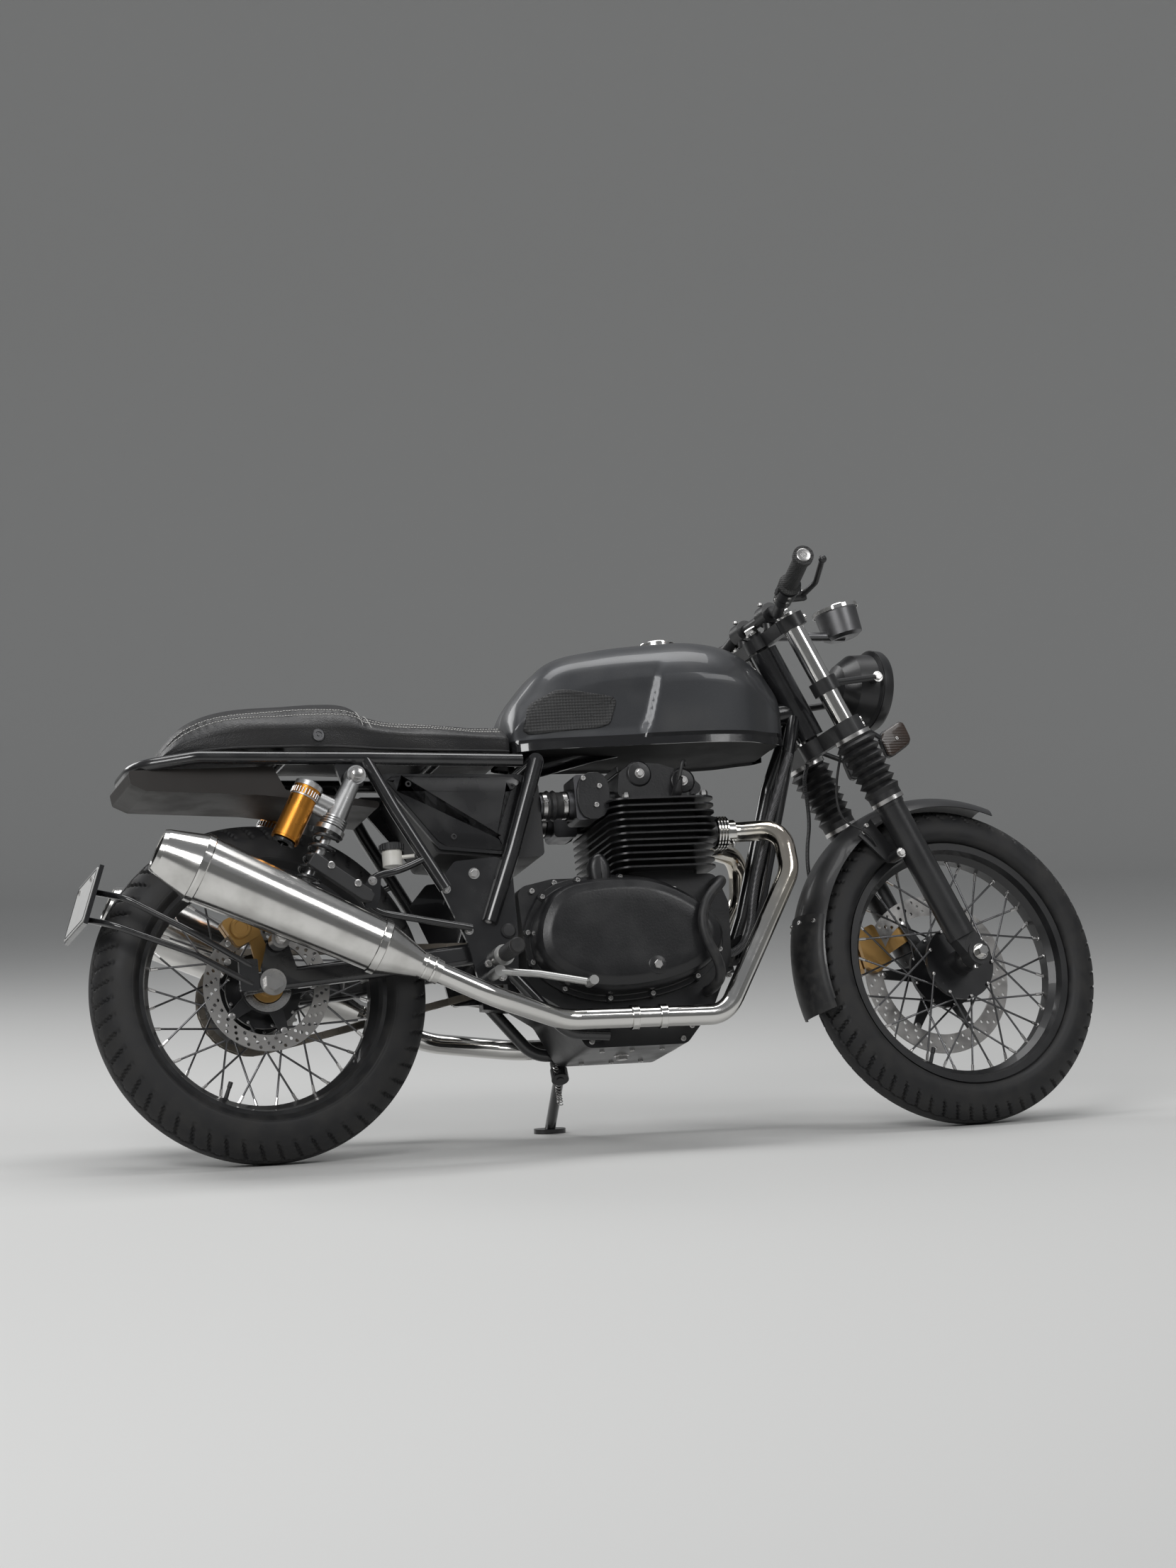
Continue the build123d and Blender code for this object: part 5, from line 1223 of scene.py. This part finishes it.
oil_pipe = [(884, -104, 478), (884, -150, 478), (876, -178, 468), (842, -186, 437), (826, -188, 398),
            (830, -190, 356), (850, -189, 318), (857, -180, 286), (850, -150, 271), (850, -104, 271)]
brake_line = [fork_point(487, -2, 52), (1158, 58, 715), (1164, 66, 672), (1164, 70, 626), (1155, 74, 587),
              (1150, 76, 545), (1153, 78, 505), (1168, 78, 466), (1195, 77, 434), (1236, 75, 416)]
sensor_line = [fork_point(488, 22, -45), (1192, -45, 741), (1174, -45, 690), (1165, -47, 645),
               (1166, -52, 613), (1175, -60, 591), (1195, -68, 580), (1215, -71, 566), (1230, -67, 545)]
for name, line, radius, count, finish, body in (
        ("oil_hose", oil_hose, 8, 16, braid, "chassis"),
        ("oil_pipe", oil_pipe, 10, 20, rubber_black, "chassis"),
        ("front_brake_hose", brake_line, 4, 12, braid, "front_assembly"),
        ("sensor_cable", sensor_line, 2.5, 10, rubber_black, "front_assembly")):
    fitted(name, [swept(bent(line), radius, count)], finish, body)
union = turned([(-8, 0), (-8, 8), (8, 8), (9, 6), (9, 0)], (1236, 75, 416), (0, 1, 0), 24)
fitted("hose_union", [union], bright_steel, "front_assembly")
PISTON_COVER = [(-4, 0), (-4, 20), (4, 20), (6, 17.5), (6, 13), (4.5, 12), (4.5, 0)]
CALIPERS = (("front", 1264, 86, 372, 1, "front_assembly"),
            ("rear", -44, 88, REAR_RADIUS + 112, -1, "chassis"))
for name, x, y, z, side, body in CALIPERS:
    cover = turned(PISTON_COVER, (x, side * y, z), (0, side, 0), 48)
    fitted(name + "_piston_cover", [cover], caliper_gold, body)
for name, x, y, z, side, body in CALIPERS:
    screws = side_heads(cap_screw, side, y, ((x + 30, z + 27), (x - 27, z - 30)), 6, 6)
    screws.append(turned([(0, 0), (0, 3.4), (8, 3.4), (9, 2), (15, 2), (15, 0)],
                         (x - 10, side * (y - 8), z + 34), (0, 0, 1), 10))
    fitted(name + "_caliper_screws", screws, bright_steel, body)

# Fork
# Chromed legs run from two cast yokes, through rubber gaiters held by clips, into black sliders. The
# axle is clamped at their feet, and the deep mudguard is bolted to a lug on each. Its end is a rubber flap.
LEG_SPREAD = 97.5
LEG_AHEAD = 24
FLAP_ROWS = 12
FLAP_COLUMNS = 16
yoke_black = sprayed("yoke_black", "fork_black", (0.016, 0.016, 0.017), 0.34, 0.1, 0.4)
coat_nodes(yoke_black, "upper_yoke", "lower_yoke", "fork_sliders", "headlamp", "handlebar", "hand_controls")
coat_nodes(bright_chrome, "fork_stanchions")
coat_nodes(rubber_black, "fork_gaiters")
guard_paint = sprayed("guard_paint", "mudguard_black", (0.02, 0.02, 0.021), 0.36, 0.15)
coat_nodes(guard_paint, "front_mudguard")
clips, tops, fork_bolts, slider_collars = [], [], [], []
for side in (-1, 1):
    leg = side * LEG_SPREAD
    outward = (0, side, 0)
    for level, radius in ((344, 34), (486, 37.5)):
        middle = fork_point(level, LEG_AHEAD, leg)
        clips.append(turned(hoop(-4, 4, radius - 1.5, radius), middle, UP_FORK, 48))
    top = fork_point(757, LEG_AHEAD, leg)
    tops.append(turned([(0, 0), (0, 22), (3, 22), (4.5, 20), (4.5, 0)], top, UP_FORK, 48))
    tops.append(turned(plug(4, 12.5, 12, 1.5), top, UP_FORK, 6))
    for level in (741, 500, 512):
        fork_bolts.append(cap_screw(fork_point(level, LEG_AHEAD + 29, leg + side * 2), AHEAD, 6, 7))
    fork_bolts.append(bolt(fork_point(242, -10, side * 104), outward, 7, 6))
    fork_bolts.append(cap_screw((1394, side * 98, 292), (0, 0, -1), 5, 5))
    axle = Vector((1398, side * 118, 316))
    tops.append(turned(plug(0, 2, 15), axle, outward, 40))
    tops.append(turned(plug(2, 13.5, 11.5, 1.5), axle, outward, 6))
    slider_collars.append(turned(hoop(0, 8, 28, 29.5), fork_point(332, LEG_AHEAD, leg), UP_FORK, 48))
tops.append(turned(plug(0, 4, 17), fork_point(761, 0, 0), UP_FORK, 40))
tops.append(turned(plug(4, 15, 15, 2), fork_point(761, 0, 0), UP_FORK, 6))
fitted("gaiter_clips", clips, bright_steel, "front_assembly")
fitted("fork_tops", tops, bright_chrome, "front_assembly")
fitted("fork_bolts", fork_bolts, bright_steel, "front_assembly")
fitted("slider_collars", slider_collars, yoke_black, "front_assembly")


def guard_point(across, angle, reach):
    """A point on the front mudguard's curved section, above its crown radius."""
    return wheel_point(FRONT_AXLE, across, reach - 31 * (across / 62) ** 2, angle)


rings = []
for angle in [math.radians(163 + 34 * number / FLAP_ROWS) for number in range(FLAP_ROWS + 1)]:
    row = [-60 + 120 * number / FLAP_COLUMNS for number in range(FLAP_COLUMNS + 1)]
    rings.append([guard_point(across, angle, 347.2) for across in row]
                 + [guard_point(across, angle, 344.2) for across in reversed(row)])
flap_points, flap_faces = woven(rings)
for start in (0, FLAP_ROWS * len(rings[0])):
    back = start + len(rings[0]) - 1
    flap_faces += [(start + n, start + n + 1, back - n - 1, back - n) for n in range(FLAP_COLUMNS)]
fitted("mudguard_flap", [(flap_points, flap_faces)], rubber_black, "front_assembly", 50)
flap_bolts = []
angle = math.radians(165.5)
for across in (-46, -16, 16, 46):
    outward = (math.cos(angle), across / 180, math.sin(angle))
    flap_bolts.append(cap_screw(guard_point(across, angle, 347), outward, 4.5, 3))
for side in (-1, 1):
    flap_bolts += side_heads(cap_screw, side, 64, ((1206, 572), (1214, 586)), 4.5, 4)
fitted("mudguard_bolts", flap_bolts, bright_steel, "front_assembly")

# Handlebar, grips and controls
# A black steel bar with moulded rubber grips and weighted ends. Clamped switch housings carry a red stop
# switch and black buttons, and each lever pivots on a bolt.
grip_rubber, shade = slotted("grip_rubber", "rubber_black")
diamonds = shade.node("TexVoronoi", {"distance": "MANHATTAN"}, {
    "Vector": own_place(shade), "Scale": 260.0, "Randomness": 0.0})
surface(shade, {"Base Color": tinted(shade, (0.012, 0.012, 0.012), (0.03, 0.03, 0.03), speckle(shade, 50)),
                "Roughness": 0.58, "Normal": relief(shade, diamonds, 0.7, 0.0018)})
coat_nodes(grip_rubber, "grips")
red_plastic = sprayed("red_plastic", "fork_black", (0.5, 0.02, 0.018), 0.35)
up = Vector((0, 0, 1))
back = Vector((-1, 0, -0.12)).normalized()
switches, red_parts, bar_ends, control_bolts = [], [], [], []
for side in (-1, 1):
    inner = Vector((1004, side * 258, 1006))
    run = (Vector((970, side * 386, 1020)) - inner).normalized()
    for along, radius in ((6, 4), (15, 5), (25, 3.5)):
        switches.append(turned(plug(0, 5, radius, 1), inner - run * along + back * 20, back, 20))
    if side < 0:
        red_button = [(0, 0), (0, 7), (5, 7), (6.5, 5), (6.5, 0)]
        red_parts.append(turned(red_button, inner - run * 16 + up * 19, up, 24))
        red_parts.append(swept([inner - run * 10 + up * 25, inner - run * 22 + up * 25], 2.4))
    for along in (6, 26):
        control_bolts.append(cap_screw(inner - run * along - up * 20, -up, 3.5, 3))
    for along in (45, 57):
        control_bolts.append(cap_screw(inner - run * along + back * 17, back, 3.5, 3))
    pivot = inner - run * 50 + Vector((1, 0, 0.12)) * 40
    control_bolts.append(bolt(pivot + up * 6, up, 5, 5))
    switches.append(turned(plug(-7, 7, 10), pivot, up, 24))
    bar_ends.append(turned([(-3, 0), (-3, 13.5), (0.9, 13.5), (1.4, 12.6), (1.4, 6), (0.4, 5.5), (0.4, 0)],
                           inner + run * 142, run, 40))
    for ahead in (-13, 13):
        control_bolts.append(cap_screw((1063 + ahead, side * 55, 1040), up, 5, 4))
fitted("switches", switches, dull_plastic, "front_assembly")
fitted("stop_switch", red_parts, red_plastic, "front_assembly")
fitted("bar_ends", bar_ends, bright_steel, "front_assembly")
fitted("control_bolts", control_bolts, bright_steel, "front_assembly")

# Headlamp, instrument and markers
# A black steel bowl with a bright reflector and a bulb behind fluted glass. The drum instrument has a
# bright rim and a plain black dial, and smoked markers stand on stalks.
LAMP_DIP = math.radians(5)
GAUGE_TILT = math.radians(12)
lamp_centre = Vector((1290, 0, 886))
lamp_ahead = Vector((math.cos(LAMP_DIP), 0, -math.sin(LAMP_DIP)))
lens_glass, shade = slotted("lens_glass", "lens_glass")
flutes = shade.node("TexWave", {"bands_direction": "Y"}, {"Vector": own_place(shade), "Scale": 30.0})
surface(shade, {"Base Color": (0.95, 0.96, 0.97, 1), "Roughness": 0.03, "Transmission Weight": 1.0,
                "IOR": 1.45, "Normal": relief(shade, flutes, 0.25, 0.001)})
coat_nodes(lens_glass, "headlamp_lens")
REFLECTOR = [(6, 67), (-8, 62), (-24, 52), (-42, 36), (-54, 18), (-57, 12)]
BULB = [(-58, 0), (-58, 12), (-50, 12), (-50, 7), (-24, 7), (-16, 5), (-14, 0)]
RIM = [(4, 79.2), (4, 81), (20, 81), (25, 78), (25.5, 73.4), (22, 73), (22, 79.2)]
for name, profile, count, finish in (
        ("lamp_reflector", REFLECTOR, 64, bright_chrome),
        ("lamp_bulb", BULB, 24, bright_steel),
        ("lamp_rim", RIM, 96, yoke_black)):
    fitted(name, [turned(profile, lamp_centre, lamp_ahead, count)], finish, "front_assembly")
ear_bolts = [bolt((1272, side * 90, 886), (0, side, 0), 8, 6) for side in (-1, 1)]
fitted("lamp_bolts", ear_bolts, bright_steel, "front_assembly")
gauge_grey = metal("gauge_grey", "fork_black", (0.2, 0.2, 0.205), 0.36, 400, 0.2)
coat_nodes(gauge_grey, "gauge")
dial_black = sprayed("dial_black", "fork_black", (0.01, 0.01, 0.011), 0.5)
dial_white = sprayed("dial_white", "fork_black", (0.8, 0.8, 0.78), 0.5)
MARKS_FROM = 225
MARKS_SWEEP = 270
MARK_COUNT = 24
gauge_centre = Vector((1254, 0, 1028))
gauge_up = Vector((-math.sin(GAUGE_TILT), 0, math.cos(GAUGE_TILT)))
gauge_right = Vector((0, -1, 0))
gauge_north = gauge_up.cross(gauge_right)
GAUGE_RIM = [(22, 46), (22, 47.4), (29, 47.4), (31, 45.5), (31, 41), (28, 40.5)]
GAUGE_DIAL = [(26.3, 0), (26.3, 40.8)]
gauge_rim = turned(GAUGE_RIM, gauge_centre, gauge_up, 96)
gauge_dial = turned(GAUGE_DIAL, gauge_centre, gauge_up, 64)
fitted("gauge_rim", [gauge_rim], bright_chrome, "front_assembly")
fitted("gauge_dial", [gauge_dial], dial_black, "front_assembly")


def dial_line(degrees, level, near, far, radius):
    """A line that points out from the dial's middle."""
    angle = math.radians(degrees)
    out = gauge_right * math.cos(angle) + gauge_north * math.sin(angle)
    base = gauge_centre + gauge_up * level
    return swept([base + out * near, base + out * far], radius, 6)


marks = [dial_line(MARKS_FROM, 27.2, -6, 30, 0.7), turned(plug(26.4, 28, 4), gauge_centre, gauge_up, 24)]
for number in range(MARK_COUNT + 1):
    near, radius = (32, 0.35) if number % 4 else (28, 0.6)
    marks.append(dial_line(MARKS_FROM - MARKS_SWEEP * number / MARK_COUNT, 26.7, near, 37, radius))
fitted("gauge_marks", marks, dial_white, "front_assembly")
smoked, shade = slotted("marker_lens", "black_plastic")
ribs = shade.node("TexWave", {"bands_direction": "Z"}, {"Vector": own_place(shade), "Scale": 60.0})
surface(shade, {"Base Color": tinted(shade, (0.02, 0.013, 0.009), (0.04, 0.02, 0.012), speckle(shade, 30)),
                "Roughness": 0.28, "Coat Weight": 0.2, "Normal": relief(shade, ribs, 0.2, 0.0008)})
marker_outline = eased([(1260, 768), (1318, 802), (1336, 754), (1276, 716)], 2, 0.16)
marker_faces, marker_backs, marker_screws = [], [], []
for side in (-1, 1):
    marker_backs.append(stacked(marker_outline, side, [(1.5, 69), (0, 70.5), (0, 79.5), (1.5, 81)]))
    marker_faces.append(stacked(marker_outline, side, [(2, 80.5), (2, 83), (4, 84.6), (9, 85.2)]))
    marker_backs.append(swept([fork_point(506, 55, side * 88), (1272, side * 76, 760)], 5, 12))
    marker_screws.append(cap_screw((1298, side * 85, 760), (0, side, 0), 3.5, 2))
fitted("marker_backs", marker_backs, yoke_black, "front_assembly", 25)
fitted("marker_faces", marker_faces, smoked, "front_assembly", 25)
fitted("marker_screws", marker_screws, bright_steel, "front_assembly")

# Rear plate
# A bare white plate in a black holder, with a thin pressed border and two screws, left without lettering.
plate_white = sprayed("plate_white", "plate_white", (0.66, 0.66, 0.65), 0.38)
coat_nodes(plate_white, "number_plate")
back = Vector((-0.94, 0, 0.34)).normalized()
plate_up = Vector((0.34, 0, 0.94)).normalized()
face = Vector((-322, 0, 506)) + back * 2.6
screws = [cap_screw(face + plate_up * 36 + Vector((0, across, 0)), back, 5, 3) for across in (-62, 62)]
fitted("plate_screws", screws, bright_steel)
corners = [(90, 50), (96, 44), (96, -44), (90, -50), (-90, -50), (-96, -44), (-96, 44), (-90, 50)]
border = swept([face + Vector((0, y, 0)) + plate_up * z - back * 0.3 for y, z in corners], 1.1, 8, True)
fitted("plate_border", [border], dull_plastic)

# Side stand spring
# A bright coil spring and a pivot bolt hold the stand down.
COIL_TURNS = 14
COIL_STEPS = 180
coil = []
for share in [number / COIL_STEPS for number in range(COIL_STEPS + 1)]:
    angle = math.tau * COIL_TURNS * share
    spot = Vector((600, 112, 176)).lerp(Vector((622, 176, 110)), share)
    coil.append(spot + Vector((math.cos(angle) * 5, math.sin(angle) * 3, math.sin(angle) * 4)))
fitted("stand_spring", [swept(coil, 1.1, 6)], bright_steel)
fitted("stand_pivot_bolt", [bolt((612, 130, 160), (0.087, 0.687, 0.72), 9, 9)], bright_steel)
